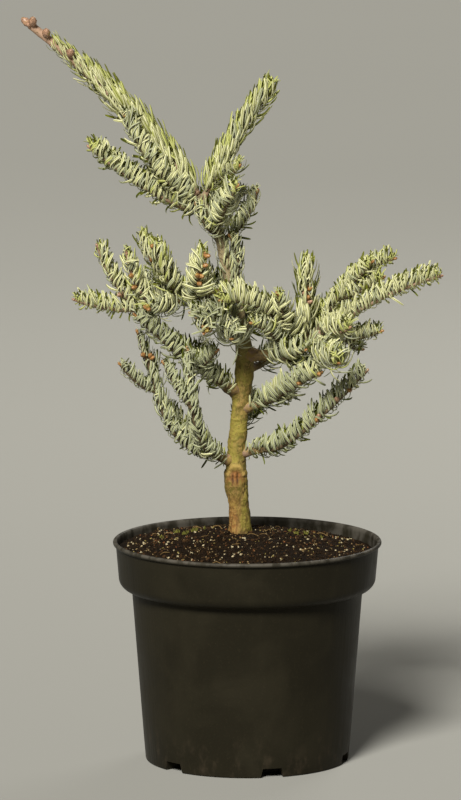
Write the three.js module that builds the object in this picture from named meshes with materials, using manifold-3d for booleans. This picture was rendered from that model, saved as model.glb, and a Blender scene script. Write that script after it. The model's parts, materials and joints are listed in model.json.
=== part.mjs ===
// A young Korean fir in its nursery pot: pot, soil, trunk, boughs and one mass of needles for each
// shoot or fork of shoots.  Millimetres, +Z up.  The origin is the middle of the pot's flat underside,
// +X is the right-hand side and -Y the front.
import * as THREE from 'three';
import { mergeVertices } from 'three/addons/utils/BufferGeometryUtils.js';
import Module from 'manifold-3d';

const wasm = await Module();
wasm.setup();

// ---------------------------------------------------------------- driving dimensions

const GAP = 0.3; // air left between any two pieces that meet
const RIGHT = Math.PI / 2; // a right angle

const POT = {
  height: 186,
  rimRadius: 112.5, // over the rolled lip
  lip: { round: 1.9, from: -60, to: 150, steps: 5 }, // its section's radius and the turn it takes, in degrees
  bandTopRadius: 110.4,
  bandFootRadius: 107.7,
  bandFoot: 154.5, // height of the band's lower edge
  shoulder: 145, // height where the band has drawn in to the body
  shoulderRadius: 96.7,
  shoulderSteps: 3,
  baseRadius: 85.4,
  baseRound: 1.5,
  wall: 1.6,
  floor: 2.4,
  segments: 36,
};

// Drain notches round the foot: the first is turned from the front, and each has a roof and sides inside.
const NOTCH = { count: 6, turn: 14, width: 14, head: 0.75, height: 8, depth: 17, roof: 1.6 };

// The soil is level under the trunk, out to its seat, and falls to its edge in rings.
const SOIL = { seat: 27, top: 190, edge: 177.5, rings: 3, swell: 1.25, lean: 0.02 };

// The trunk's centre line and radius, from the soil up to the fork.
const TRUNK = [
  { x: -6, y: 15, z: 184, r: 10.4 },
  { x: -6.2, y: 14.7, z: 197, r: 9 },
  { x: -7.2, y: 14, z: 214, r: 8.7 },
  { x: -9.6, y: 13, z: 234, r: 10 },
  { x: -9.3, y: 12.5, z: 249, r: 8.2 },
  { x: -6.5, y: 11, z: 288, r: 7.2 },
  { x: -2.5, y: 10, z: 326, r: 7.8 },
  { x: -3, y: 9.5, z: 348, r: 7 },
  { x: -9, y: 8.5, z: 382, r: 5.3 },
  { x: -18, y: 7, z: 420, r: 4.8 },
  { x: -24, y: 6, z: 444, r: 4.4 },
  { x: -42, y: 4, z: 477, r: 3.9 },
];
const TRUNK_FOOT = SOIL.top + GAP;
const TRUNK_FACES = { rings: 22, sides: 10 };
const BOUGH_FACES = { rings: 7, sides: 6 };
const TIP_SHARE = 0.25; // of a limb's radius, left at its blunt end

// Each bough leaves the trunk at a height, runs to its tip and bows off the straight line by its middle.
const BOUGHS = {
  low_left: { height: 251, tip: [-27, 2, 258], bow: [0, 0, -1], radius: [3.3, 2.6] },
  low_right: { height: 257, tip: [14, 3, 262], bow: [0, 0, 0], radius: [3.2, 2.6] },
  low_back: { height: 255, tip: [-4, 58, 280], bow: [0, 0, -3], radius: [3, 2.3] },
  mid_left: { height: 309, tip: [-18, 2, 317], bow: [0, 0, 0], radius: [3.2, 2.6] },
  mid_right: { height: 295, tip: [13, 1, 301], bow: [0, 0, 0], radius: [3.2, 2.6] },
  mid_back: { height: 304, tip: [-32, 48, 321], bow: [0, 0, -2], radius: [3.2, 2.4] },
  right: { height: 342, tip: [59, -8, 361], bow: [3, -2, -6], radius: [4.4, 2.8] },
  right_back: { height: 328, tip: [26, 52, 337], bow: [0, 0, -2], radius: [3.2, 2.4] },
  left: { height: 394, tip: [-64, -2, 388], bow: [0, 0, 1], radius: [3.6, 2.7] },
  left_back: { height: 378, tip: [-26, 46, 386], bow: [0, 0, -2], radius: [3, 2.3] },
};

// Each mass of needles: the limb that bears it and where, then its shoots.  A shoot has its tip, the bow
// of its middle and the spread of its needles round the stem.  Later shoots of a mass fork off the first.
const MASSES = {
  leader: {
    on: 'trunk', at: 1, stem: 3.4, bare: 0.8, buds: 3,
    shoots: [{ tip: [-182, -8, 622], bow: [7.5, 0, 3], spread: 15.5 }],
  },
  leader_side: {
    on: 'trunk', at: 469, stem: 1.8,
    shoots: [{ tip: [-101, -22, 547], bow: [-5, -7, -5], spread: 12 }],
  },
  top_left: {
    on: 'trunk', at: 460, stem: 2,
    shoots: [{ tip: [-130, -10, 520], bow: [0, -5, -5], spread: 11.5 }],
  },
  top_right: {
    on: 'trunk', at: 470, stem: 2.2,
    shoots: [
      { tip: [20, 8, 567], bow: [-3, 0, 1], spread: 13 },
      { fork: 0.16, tip: [-7, -24, 506], bow: [3, -4, 0], spread: 10 },
    ],
  },
  top_front: {
    on: 'trunk', at: 447, stem: 1.8,
    shoots: [{ tip: [-9, -42, 491], bow: [-2, -8, 0], spread: 11.5 }],
  },
  top_right_low: {
    on: 'trunk', at: 436, stem: 1.8,
    shoots: [{ tip: [8, 12, 479], bow: [3, 3, -2], spread: 10 }],
  },
  trunk_right: {
    on: 'trunk', at: 400, stem: 1.5,
    shoots: [{ tip: [-14, -4, 444], bow: [4, 0, -2], spread: 9 }],
  },
  trunk_left: {
    on: 'trunk', at: 441, stem: 1.3,
    shoots: [{ tip: [-42, -14, 472], bow: [-1, -7, -2], spread: 9 }],
  },
  top_back: {
    on: 'trunk', at: 455, stem: 2,
    shoots: [
      { tip: [-24, 72, 476], bow: [0, 0, -5], spread: 12 },
      { fork: 0.4, tip: [-2, 52, 474], bow: [0, 0, 0], spread: 10 },
    ],
  },
  top_back_left: {
    on: 'trunk', at: 466, stem: 2,
    shoots: [{ tip: [-82, 56, 489], bow: [0, 9, -6], spread: 12 }],
  },
  left_front_high: {
    on: 'left', at: 0.5, stem: 1.8,
    shoots: [{ tip: [-36, -46, 434], bow: [-3, -9, -6], spread: 13 }],
  },
  front_left: {
    on: 'trunk', at: 383, stem: 1.9,
    shoots: [
      { tip: [-36, -60, 372], bow: [-3, -3, 3], spread: 14 },
      { fork: 0.35, tip: [-46, -28, 384], bow: [0, 0, -2], spread: 11 },
    ],
  },
  front_mid: {
    on: 'trunk', at: 362, stem: 1.9,
    shoots: [{ tip: [-13, -50, 366], bow: [-3, -2, -1], spread: 14 }],
  },
  mid_left: {
    on: 'mid_left', at: 1, stem: 2.2,
    shoots: [
      { tip: [-92, -30, 382], bow: [0, -3, -3], spread: 11.5 },
      { fork: 0.3, tip: [-26, -30, 352], bow: [0, -3, 0], spread: 9 },
    ],
  },
  left_tip: {
    on: 'left', at: 1, stem: 2.2,
    shoots: [
      { tip: [-143, -6, 392], bow: [0, -3, -6], spread: 9.5 },
      { fork: 0.3, tip: [-124, -10, 436], bow: [-3, 0, -4], spread: 10 },
      { fork: 0.16, tip: [-100, -32, 434], bow: [-3, -4, -3], spread: 10 },
    ],
  },
  left_up: {
    on: 'left', at: 0.82, stem: 2,
    shoots: [
      { tip: [-77, -14, 436], bow: [0, -2, -3], spread: 12 },
      { fork: 0.25, tip: [-88, 12, 443], bow: [-3, 2, 0], spread: 10 },
    ],
  },
  left_front_low: {
    on: 'left', at: 0.9, stem: 1.6,
    shoots: [{ tip: [-82, -38, 390], bow: [2, -4, -3], spread: 12 }],
  },
  left_back: {
    on: 'left', at: 0.7, stem: 2,
    shoots: [
      { tip: [-90, 78, 396], bow: [2, 0, -5], spread: 12 },
      { fork: 0.45, tip: [-62, 74, 398], bow: [0, 0, 0], spread: 11 },
    ],
  },
  low_left_outer: {
    on: 'low_left', at: 1, stem: 2.2,
    shoots: [
      { tip: [-81, -8, 343], bow: [-9, 2, -18], spread: 10.5 },
      { fork: 0.72, tip: [-105, -20, 339], bow: [0, 0, -3], spread: 8 },
      { fork: 0.86, tip: [-91, -10, 364], bow: [0, 0, 0], spread: 8 },
    ],
  },
  low_left_inner: {
    on: 'low_left', at: 0.52, stem: 1.9,
    shoots: [
      { tip: [-50, -40, 354], bow: [-5, -8, -16], spread: 10.5 },
      { fork: 0.55, tip: [-69, -34, 342], bow: [0, 0, -2], spread: 9 },
    ],
  },
  low_left_back: {
    on: 'low_left', at: 0.7, stem: 1.7,
    shoots: [{ tip: [-68, 50, 293], bow: [0, 6, -8], spread: 10 }],
  },
  right_front_long: {
    on: 'right', at: 0.68, stem: 2,
    shoots: [
      { tip: [-22, -42, 397], bow: [5, -7, 12], spread: 13 },
      { fork: 0.3, tip: [25, -44, 401], bow: [2, -2, -2], spread: 10 },
    ],
  },
  right_front_low: {
    on: 'right', at: 0.5, stem: 1.7,
    shoots: [{ tip: [4, -44, 378], bow: [3, -5, 3], spread: 9 }],
  },
  right_low: {
    on: 'right', at: 0.3, stem: 1.8,
    shoots: [
      { tip: [47, -42, 355], bow: [-3, -4, -2], spread: 12 },
      { fork: 0.45, tip: [57, -26, 340], bow: [0, 0, -2], spread: 10 },
    ],
  },
  right_up: {
    on: 'right', at: 0.78, stem: 2,
    shoots: [{ tip: [49, -14, 422], bow: [0, 0, 0], spread: 12.5 }],
  },
  right_far: {
    on: 'right', at: 1, stem: 2.3,
    shoots: [
      { tip: [160, -12, 413], bow: [0, -5, 7], spread: 10 },
      { fork: 0.1, tip: [84, -44, 374], bow: [0, -4, -2], spread: 12 },
    ],
  },
  right_high: {
    on: 'right', at: 0.88, stem: 2,
    shoots: [
      { tip: [122, 6, 425], bow: [-4, 4, 10], spread: 10 },
      { fork: 0.5, tip: [103, -12, 424], bow: [0, 0, 0], spread: 9 },
      { fork: 0.35, tip: [112, -4, 410], bow: [0, 0, -1], spread: 10 },
    ],
  },
  right_mid: {
    on: 'right', at: 0.93, stem: 1.7,
    shoots: [
      { tip: [111, -2, 365], bow: [0, 5, -4], spread: 9.5 },
      { fork: 0.45, tip: [96, 10, 348], bow: [0, 0, -2], spread: 7 },
    ],
  },
  right_facing: {
    on: 'right', at: 0.91, stem: 1.9,
    shoots: [{ tip: [75, -84, 351], bow: [2, -4, -5], spread: 14 }],
  },
  right_back: {
    on: 'right', at: 0.6, stem: 2,
    shoots: [
      { tip: [84, 80, 380], bow: [0, 4, -3], spread: 12 },
      { fork: 0.45, tip: [56, 84, 374], bow: [0, 0, 0], spread: 11 },
    ],
  },
  mid_right: {
    on: 'mid_right', at: 1, stem: 2.2,
    shoots: [
      { tip: [60, -46, 337], bow: [-1, -3, 1], spread: 12.5 },
      { fork: 0.2, tip: [39, -2, 311], bow: [0, 0, -1], spread: 11 },
    ],
  },
  low_right: {
    on: 'low_right', at: 1, stem: 2.2,
    shoots: [{ tip: [98, -24, 334], bow: [-9, -3, -15], spread: 11 }],
  },
  low_right_back: {
    on: 'low_right', at: 0.7, stem: 1.7,
    shoots: [{ tip: [54, 46, 285], bow: [0, 3, -5], spread: 10 }],
  },
  low_back: {
    on: 'low_back', at: 1, stem: 2,
    shoots: [
      { tip: [2, 108, 293], bow: [0, 0, -3], spread: 11 },
      { fork: 0.2, tip: [22, 90, 293], bow: [0, 0, 0], spread: 9 },
    ],
  },
  mid_back: {
    on: 'mid_back', at: 1, stem: 2,
    shoots: [
      { tip: [-62, 90, 339], bow: [0, 2, -3], spread: 12 },
      { fork: 0.3, tip: [-36, 94, 338], bow: [0, 0, 0], spread: 10 },
    ],
  },
  right_back_low: {
    on: 'right_back', at: 1, stem: 2,
    shoots: [
      { tip: [44, 104, 345], bow: [0, 2, -3], spread: 12 },
      { fork: 0.25, tip: [20, 96, 352], bow: [0, 0, 0], spread: 11 },
    ],
  },
  left_back_mid: {
    on: 'left_back', at: 1, stem: 2,
    shoots: [
      { tip: [-36, 90, 398], bow: [0, 0, -3], spread: 12 },
      { fork: 0.2, tip: [-12, 84, 402], bow: [0, 0, 0], spread: 10 },
    ],
  },
  back_high: {
    on: 'trunk', at: 366, stem: 2,
    shoots: [{ tip: [16, 84, 373], bow: [0, 3, -4], spread: 12 }],
  },
};

// The space that a shoot's needles take, as shares of its spread.
const SPREAD = {
  before: 6, // the needles open out as if they began this far below the shoot
  rise: 12, // run over which they open
  bare: 0.22, // share left where the shoot is bare
  tipFrom: 0.8, // where along the shoot its tip begins to close
  tipLoss: 0.25,
};

const NEEDLE = {
  reach: 14, // length outside the core
  root: 2, // length sunk in the core
  width: 4.4,
  thickness: 1.6,
  first: 6, // from the start of a shoot to its first needle
  spacing: 12, // along a shoot, from one needle to the next
  scatter: 0.6, // of the spacing
  turn: 137.5, // round the shoot from one needle to the next, in degrees
  wander: 40, // most that a turn is off, in degrees
  curl: 1.3, // radians turned from root to tip
  lean: 0.45, // towards the tip of the shoot
  last: 0.97, // no needle stands further along a shoot
};

// The core that a shoot's needles stand on: a share of the spread, with teeth that reach further out.
const CORE = { sides: 6, ringSpacing: 7.6, share: 0.4, reach: 0.88 };
const TOOTH_LEAN = 0.9; // how far a tooth stands forward for each millimetre that it stands out
const STEM_TAPER = 0.6; // of a stem's radius, at its tip
const FORK_STEM = 0.8; // of the main stem's radius
const BUD = { radius: 4.2, shrink: 0.6, spacing: 0.07, beside: [2.4, 0, 2.8] };
const LIMB_MARGIN = 0.5; // between a mass and a limb that doesn't bear it
const SPACE_MARGIN = 0.7; // between what two masses may fill
const STEP = 2; // between the points at which a limb or shoot is measured
const SEEDS = { first: 17, step: 7919 };

const COLOURS = {
  plastic: 0x2b2925,
  peat: 0x3a2617,
  bark: 0x8f8358,
  twig: 0x7d7048,
  needles: 0xaeb98f,
};

// ---------------------------------------------------------------- materials

function material(colour, roughness) {
  return new THREE.MeshStandardMaterial({ color: colour, roughness, metalness: 0 });
}

const PLASTIC = material(COLOURS.plastic, 0.5);
const PEAT = material(COLOURS.peat, 0.95);
const BARK = material(COLOURS.bark, 0.8);
const TWIG = material(COLOURS.twig, 0.8);
const NEEDLES = material(COLOURS.needles, 0.55);

// ---------------------------------------------------------------- solids

function solid(geometry) {
  const bare = geometry.clone();
  bare.deleteAttribute('normal');
  bare.deleteAttribute('uv');
  const merged = mergeVertices(bare, 1e-4);
  return new wasm.Manifold(new wasm.Mesh({
    numProp: 3,
    vertProperties: new Float32Array(merged.attributes.position.array),
    triVerts: new Uint32Array(merged.index.array),
  }));
}

function piece(name, body, finish) {
  const mesh = body.getMesh();
  const geometry = new THREE.BufferGeometry();
  geometry.setAttribute('position', new THREE.BufferAttribute(mesh.vertProperties, 3));
  geometry.setIndex(new THREE.BufferAttribute(mesh.triVerts, 1));
  geometry.computeVertexNormals();
  const made = new THREE.Mesh(geometry, finish);
  made.name = name;
  return made;
}

function turned(profile, segments) {
  const lathe = new THREE.LatheGeometry(profile.map(([r, z]) => new THREE.Vector2(r, z)), segments);
  return lathe.rotateX(RIGHT);
}

// A cylinder bent along a curve: even rings, and a last one that closes its blunt end.  Every other point
// of a toothed cylinder stands out to the reach and forward, so that it bristles like a shoot of needles.
function bent(curve, rings, sides, radiusAt, reachAt = radiusAt) {
  const geometry = new THREE.CylinderGeometry(1, 1, rings, sides, rings);
  const blunt = 1 - radiusAt(0.99) / curve.getLength();
  const frames = curve.computeFrenetFrames(rings, false);
  const places = geometry.attributes.position;
  for (let i = 0; i < places.count; i += 1) {
    const [x, z] = [places.getX(i), places.getZ(i)];
    const ring = Math.round(places.getY(i) + rings / 2);
    const side = Math.round((Math.atan2(x, z) / Math.PI / 2 + 1) * sides);
    const along = ring === rings ? 1 : (blunt * ring) / (rings - 1);
    const tooth = (ring + side) % 2 === 0 && ring > 1 && ring < rings;
    const low = radiusAt(along);
    const radius = tooth ? reachAt(along) : low;
    const point = curve.getPointAt(along);
    point.addScaledVector(frames.normals[ring], x * radius);
    point.addScaledVector(frames.binormals[ring], -z * radius);
    point.addScaledVector(frames.tangents[ring], (radius - low) * TOOTH_LEAN);
    places.setXYZ(i, point.x, point.y, point.z);
  }
  return geometry;
}

// ---------------------------------------------------------------- pot and soil

function potRadius(height) {
  return POT.baseRadius + ((POT.shoulderRadius - POT.baseRadius) * height) / POT.shoulder;
}

function bandRadius(height) {
  const [low, high] = [POT.bandFootRadius, POT.bandTopRadius];
  return THREE.MathUtils.mapLinear(height, POT.bandFoot, POT.height, low, high);
}

// The pot's outside, from the foot to the band, moved in by a distance.
function wallProfile(inset) {
  const run = POT.bandFootRadius - POT.shoulderRadius;
  const rise = POT.bandFoot - POT.shoulder;
  const count = POT.shoulderSteps + 1;
  const turns = Array.from({ length: POT.shoulderSteps }, (_, i) => ((i + 1) / count) * RIGHT);
  return [
    [potRadius(0) - inset, 0],
    [potRadius(POT.shoulder) - inset, POT.shoulder + inset],
    ...turns.map((turn) => [
      POT.shoulderRadius + run * Math.sin(turn) - inset,
      POT.shoulder + rise * (1 - Math.cos(turn)) + inset,
    ]),
    [POT.bandFootRadius - inset, POT.bandFoot + inset],
  ];
}

// The rolled lip's section, from under its outer side over the top to its inner side.
function lipProfile() {
  const { round, from, to, steps } = POT.lip;
  return Array.from({ length: steps + 1 }, (_, i) => {
    const turn = THREE.MathUtils.degToRad(THREE.MathUtils.lerp(from, to, i / steps));
    return [POT.rimRadius + round * (Math.cos(turn) - 1), POT.height + round * (Math.sin(turn) - 1)];
  });
}

function notchBlock(index, grow) {
  const height = NOTCH.height + grow;
  const foot = NOTCH.width / 2 + grow;
  const head = foot * NOTCH.head;
  const outline = new THREE.Shape([
    new THREE.Vector2(-foot, -1), new THREE.Vector2(foot, -1),
    new THREE.Vector2(head, height), new THREE.Vector2(-head, height),
  ]);
  const past = 4; // out of the pot's wall
  const depth = NOTCH.depth + grow;
  const block = new THREE.ExtrudeGeometry(outline, { depth: depth + past, bevelEnabled: false });
  block.rotateX(RIGHT);
  block.translate(0, depth - potRadius(0), 0);
  const turn = THREE.MathUtils.degToRad(NOTCH.turn + (index * 360) / NOTCH.count);
  return solid(block.rotateZ(turn));
}

function eachNotch(body, change) {
  let made = body;
  for (let index = 0; index < NOTCH.count; index += 1) {
    made = change(made, index);
  }
  return made;
}

function makePot() {
  const underLip = POT.height - POT.lip.round * 2;
  const shell = solid(turned([
    [0, 0],
    [potRadius(0) - POT.baseRound, 0],
    [potRadius(POT.baseRound), POT.baseRound],
    ...wallProfile(0).slice(1),
    [bandRadius(underLip), underLip],
    ...lipProfile(),
    [bandRadius(underLip) - POT.wall, underLip],
    ...wallProfile(POT.wall).slice(1).reverse(),
    [potRadius(POT.floor) - POT.wall, POT.floor],
    [0, POT.floor],
  ], POT.segments));
  const above = NOTCH.height * 2;
  const within = [[0, 0], [potRadius(0), 0], [potRadius(above), above], [0, above]];
  const foot = solid(turned(within, POT.segments));
  const roofed = eachNotch(shell, (body, index) => body.add(notchBlock(index, NOTCH.roof).intersect(foot)));
  const open = eachNotch(roofed, (body, index) => body.subtract(notchBlock(index, 0)));
  return piece('pot', open, PLASTIC);
}

function makeSoil() {
  const clear = POT.wall + GAP;
  const floor = POT.floor + GAP;
  const edgeRadius = bandRadius(SOIL.edge - SOIL.lean * POT.bandFootRadius) - clear;
  const rings = Array.from({ length: SOIL.rings }, (_, i) => {
    const share = 1 - i / SOIL.rings;
    return [
      THREE.MathUtils.lerp(SOIL.seat, edgeRadius, share),
      THREE.MathUtils.lerp(SOIL.top, SOIL.edge, share ** SOIL.swell),
    ];
  });
  const geometry = turned([
    [0, floor],
    [potRadius(floor) - clear, floor],
    ...wallProfile(clear).slice(1),
    ...rings,
    [SOIL.seat, SOIL.top],
    [0, SOIL.top],
  ], POT.segments);
  const places = geometry.attributes.position;
  for (let i = 0; i < places.count; i += 1) {
    const out = Math.hypot(places.getX(i), places.getY(i));
    if (places.getZ(i) > SOIL.edge - 1 && out > SOIL.seat + 1) {
      places.setZ(i, places.getZ(i) - places.getX(i) * SOIL.lean);
    }
  }
  const body = eachNotch(solid(geometry), (earth, index) => (
    earth.subtract(notchBlock(index, NOTCH.roof + GAP))
  ));
  return piece('soil', body, PEAT);
}

// ---------------------------------------------------------------- limbs

function vector([x, y, z]) {
  return new THREE.Vector3(x, y, z);
}

// A curve from start to tip whose middle lies off the straight line by its bow.
function bowed(start, tip, bow) {
  const control = start.clone().add(tip).multiplyScalar(0.5).addScaledVector(bow, 2);
  return new THREE.QuadraticBezierCurve3(start, control, tip);
}

// Balls that fill a limb, to measure how far a point lies from it.  They stop at its flat end.
function ballsAlong(curve, radiusAt) {
  const length = curve.getLength();
  const count = Math.ceil(length / STEP);
  return Array.from({ length: count + 1 }, (_, i) => ({
    at: curve.getPointAt(i / count),
    radius: Math.min(radiusAt(i / count), length * (1 - i / count)),
  }));
}

function clearance(point, balls) {
  let least = Infinity;
  for (const ball of balls) {
    least = Math.min(least, point.distanceTo(ball.at) - ball.radius);
  }
  return least;
}

function trunkLimb() {
  const curve = new THREE.CatmullRomCurve3(TRUNK.map(({ x, y, z }) => new THREE.Vector3(x, y, z)));
  const radiusAt = (along) => {
    const height = curve.getPointAt(along).z;
    const next = Math.max(1, TRUNK.findIndex((station) => station.z >= height - 1e-6));
    const [below, above] = [TRUNK[next - 1], TRUNK[next]];
    const radius = THREE.MathUtils.mapLinear(height, below.z, above.z, below.r, above.r);
    return along === 1 ? radius * TIP_SHARE : radius;
  };
  return { curve, radiusAt, balls: ballsAlong(curve, radiusAt) };
}

function placeAtHeight(curve, height) {
  let along = 0;
  while (along < 1 && curve.getPointAt(along).z < height) {
    along += 0.002;
  }
  return curve.getPointAt(Math.min(along, 1));
}

function boughLimb(trunk, { height, tip, bow, radius }) {
  const heart = placeAtHeight(trunk.curve, height);
  const end = vector(tip);
  const towards = bowed(heart, end, vector(bow)).getTangentAt(0);
  const start = clearStart(heart, towards, radius[0], [trunk]);
  const curve = bowed(start, end, vector(bow));
  const radiusAt = (along) => {
    const taper = THREE.MathUtils.lerp(radius[0], radius[1], along);
    return along === 1 ? taper * TIP_SHARE : taper;
  };
  return { curve, radiusAt, balls: ballsAlong(curve, radiusAt) };
}

// The first place along a line from a limb's heart where a stem's flat end stands clear of the limbs.
function clearStart(heart, towards, radius, limbs) {
  const side = new THREE.Vector3(-towards.y, towards.x, 0.01).normalize();
  const other = new THREE.Vector3().crossVectors(towards, side).normalize();
  const isClear = (point) => limbs.every((limb) => clearance(point, limb.balls) >= GAP);
  for (let out = 0; out < 40; out += 0.1) {
    const centre = heart.clone().addScaledVector(towards, out);
    const rim = Array.from({ length: 8 }, (_, i) => centre.clone()
      .addScaledVector(side, radius * Math.cos((i * Math.PI) / 4))
      .addScaledVector(other, radius * Math.sin((i * Math.PI) / 4)));
    if (isClear(centre) && rim.every(isClear)) {
      return centre;
    }
  }
  throw new Error('a stem found no clear place to start');
}

function makeTrunk(limb) {
  const size = TRUNK[0].r * 4;
  const below = new THREE.BoxGeometry(size, size, size);
  below.translate(TRUNK[0].x, TRUNK[0].y, TRUNK_FOOT - size / 2);
  const stem = solid(bent(limb.curve, TRUNK_FACES.rings, TRUNK_FACES.sides, limb.radiusAt));
  const body = stem.subtract(solid(below));
  return piece('trunk', body, BARK);
}

// ---------------------------------------------------------------- masses of needles

// The stems of every mass first: each knows the limb it springs from and the space round it.
function layOutMass(name, mass, limbs) {
  const limb = limbs[mass.on];
  const heart = mass.at > 1 ? placeAtHeight(limb.curve, mass.at) : limb.curve.getPointAt(mass.at);
  const [main, ...forks] = mass.shoots;
  const towards = bowed(heart, vector(main.tip), vector(main.bow)).getTangentAt(0);
  const start = clearStart(heart, towards, mass.stem, Object.values(limbs));
  const first = layOutShoot(start, main, mass.stem, mass.bare ?? 1);
  const others = forks.map((fork) => (
    layOutShoot(first.curve.getPointAt(fork.fork), fork, mass.stem * FORK_STEM, 1)
  ));
  return { name, buds: mass.buds ?? 0, shoots: [first, ...others] };
}

function layOutShoot(start, { tip, bow, spread }, stem, bare) {
  const curve = bowed(start, vector(tip), vector(bow));
  const length = curve.getLength();
  const spreadAt = (along) => {
    const open = THREE.MathUtils.smoothstep(along * length, -SPREAD.before, SPREAD.rise);
    const tip = 1 - SPREAD.tipLoss * THREE.MathUtils.smoothstep(along, SPREAD.tipFrom, 1);
    const closed = along > bare ? SPREAD.bare : tip;
    return Math.max(stem, spread * open * closed);
  };
  const count = Math.ceil(length / STEP);
  const samples = Array.from({ length: count + 1 }, (_, i) => ({
    at: curve.getPointAt(i / count),
    spread: spreadAt(i / count),
  }));
  return { curve, length, stem, spread, bare, spreadAt, samples };
}

// How far outside a mass's envelope a point lies; inside it is negative.
function outside(point, mass) {
  let least = Infinity;
  for (const shoot of mass.shoots) {
    for (const sample of shoot.samples) {
      least = Math.min(least, point.distanceTo(sample.at) - sample.spread);
    }
  }
  return least;
}

function ownsPoint(mass, point, masses, limbs) {
  const own = outside(point, mass);
  return limbs.every((limb) => clearance(point, limb.balls) > LIMB_MARGIN)
    && masses.every((other) => other === mass || own < outside(point, other) - SPACE_MARGIN);
}

// The widest that a mass may be about a stem: half way to its neighbours' stems and clear of the limbs.
function roomAt(mass, shoot, along, masses, limbs) {
  const point = shoot.curve.getPointAt(along);
  const wide = shoot.spreadAt(along);
  let room = wide;
  for (const other of masses) {
    if (other !== mass) {
      room = Math.min(room, (outside(point, other) + wide - SPACE_MARGIN) / 2);
    }
  }
  for (const limb of limbs) {
    room = Math.min(room, clearance(point, limb.balls) - LIMB_MARGIN);
  }
  return room;
}

function coreRadius(shoot, along, room, share) {
  const stem = shoot.stem * THREE.MathUtils.lerp(1, STEM_TAPER, along);
  const rise = THREE.MathUtils.smoothstep(along * shoot.length, 0, SPREAD.rise);
  const core = Math.min(room, shoot.spreadAt(along) * share);
  const end = along === 1 ? TIP_SHARE : 1;
  return Math.max(stem, THREE.MathUtils.lerp(stem, core, rise)) * end;
}

function random(seed) {
  let state = seed;
  return () => {
    state = (state * 1664525 + 1013904223) % 4294967296;
    return state / 4294967296;
  };
}

// A needle leaves the core outwards, then curls up and over the shoot.
function needleAt(shoot, along, turn, coreWide) {
  const tangent = shoot.curve.getTangentAt(along);
  const side = new THREE.Vector3().crossVectors(tangent, new THREE.Vector3(0.02, 0.01, 1)).normalize();
  const lift = new THREE.Vector3().crossVectors(side, tangent);
  const outward = side.multiplyScalar(Math.cos(turn)).addScaledVector(lift, Math.sin(turn));
  const first = outward.clone().addScaledVector(tangent, NEEDLE.lean).normalize();
  const over = new THREE.Vector3(0, 0, 1).addScaledVector(tangent, 0.35).addScaledVector(outward, -0.45);
  const bend = over.addScaledVector(first, -over.dot(first)).normalize();
  const root = shoot.curve.getPointAt(along).addScaledVector(outward, Math.max(0, coreWide - NEEDLE.root));
  return { root, first, bend, across: new THREE.Vector3().crossVectors(first, bend) };
}

function needlePoint(needle, share, wide, thick) {
  const length = NEEDLE.reach + NEEDLE.root;
  const turn = NEEDLE.curl * share;
  const arc = length / NEEDLE.curl;
  return needle.root.clone()
    .addScaledVector(needle.first, arc * Math.sin(turn) + thick * Math.sin(turn))
    .addScaledVector(needle.bend, arc * (1 - Math.cos(turn)) - thick * Math.cos(turn))
    .addScaledVector(needle.across, wide);
}

// A blade with a keel: a three-sided spindle whose points are moved on to the needle's arc.
function needleBlade(needle) {
  const blade = new THREE.SphereGeometry(1, 3, 2);
  const places = blade.attributes.position;
  for (let i = 0; i < places.count; i += 1) {
    const share = (places.getY(i) + 1) / 2;
    const wide = (-places.getZ(i) * NEEDLE.width) / Math.sqrt(3);
    const thick = (-places.getX(i) * NEEDLE.thickness * 2) / 3;
    const point = needlePoint(needle, share, wide, thick);
    places.setXYZ(i, point.x, point.y, point.z);
  }
  return blade;
}

function makeMass(mass, masses, limbs, index) {
  const draw = random(index * SEEDS.step + SEEDS.first);
  const parts = [];
  for (const shoot of mass.shoots) {
    const room = (along) => roomAt(mass, shoot, along, masses, limbs);
    const radiusAt = (along) => coreRadius(shoot, along, room(along), CORE.share);
    const reachAt = (along) => coreRadius(shoot, along, room(along), CORE.reach);
    const rings = Math.max(4, Math.round(shoot.length / CORE.ringSpacing));
    parts.push(solid(bent(shoot.curve, rings, CORE.sides, radiusAt, reachAt)));
    const last = Math.min(shoot.bare, NEEDLE.last) * shoot.length;
    const count = Math.floor((last - NEEDLE.first) / NEEDLE.spacing);
    for (let i = 0; i < count; i += 1) {
      const along = (NEEDLE.first + (i + draw() * NEEDLE.scatter) * NEEDLE.spacing) / shoot.length;
      const turn = THREE.MathUtils.degToRad(i * NEEDLE.turn + draw() * NEEDLE.wander);
      const blade = needleBlade(needleAt(shoot, along, turn, radiusAt(along)));
      if (staysInSpace(blade, mass, masses, limbs)) {
        parts.push(solid(blade));
      }
    }
  }
  for (let i = 0; i < mass.buds; i += 1) {
    parts.push(budSolid(mass.shoots[0], i));
  }
  return piece(`foliage_${mass.name}`, oneBody(parts), NEEDLES);
}

// Joins parts, fills any hollow that the joining seals and drops any scrap it leaves loose.
function oneBody(parts) {
  const joined = parts.reduce((whole, part) => whole.add(part)).simplify(0.01);
  return joined.decompose().reduce((most, body) => (body.volume() > most.volume() ? body : most));
}

function staysInSpace(blade, mass, masses, limbs) {
  const places = blade.attributes.position;
  for (let i = 0; i < places.count; i += 1) {
    const point = new THREE.Vector3().fromBufferAttribute(places, i);
    if (!ownsPoint(mass, point, masses, limbs)) {
      return false;
    }
  }
  return true;
}

// Buds sit at and just below the bare tip of the leading shoot.
function budSolid(shoot, index) {
  const bud = new THREE.IcosahedronGeometry(BUD.radius - index * BUD.shrink, 0);
  const place = shoot.curve.getPointAt(1 - index * BUD.spacing);
  const middle = index === 0 ? place : place.add(vector(BUD.beside));
  return solid(bud.translate(middle.x, middle.y, middle.z));
}

// ---------------------------------------------------------------- the whole plant

const trunk = trunkLimb();
const limbs = { trunk };
for (const [name, bough] of Object.entries(BOUGHS)) {
  limbs[name] = boughLimb(trunk, bough);
}
const allLimbs = Object.values(limbs);
const masses = Object.entries(MASSES).map(([name, mass]) => layOutMass(name, mass, limbs));

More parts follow.
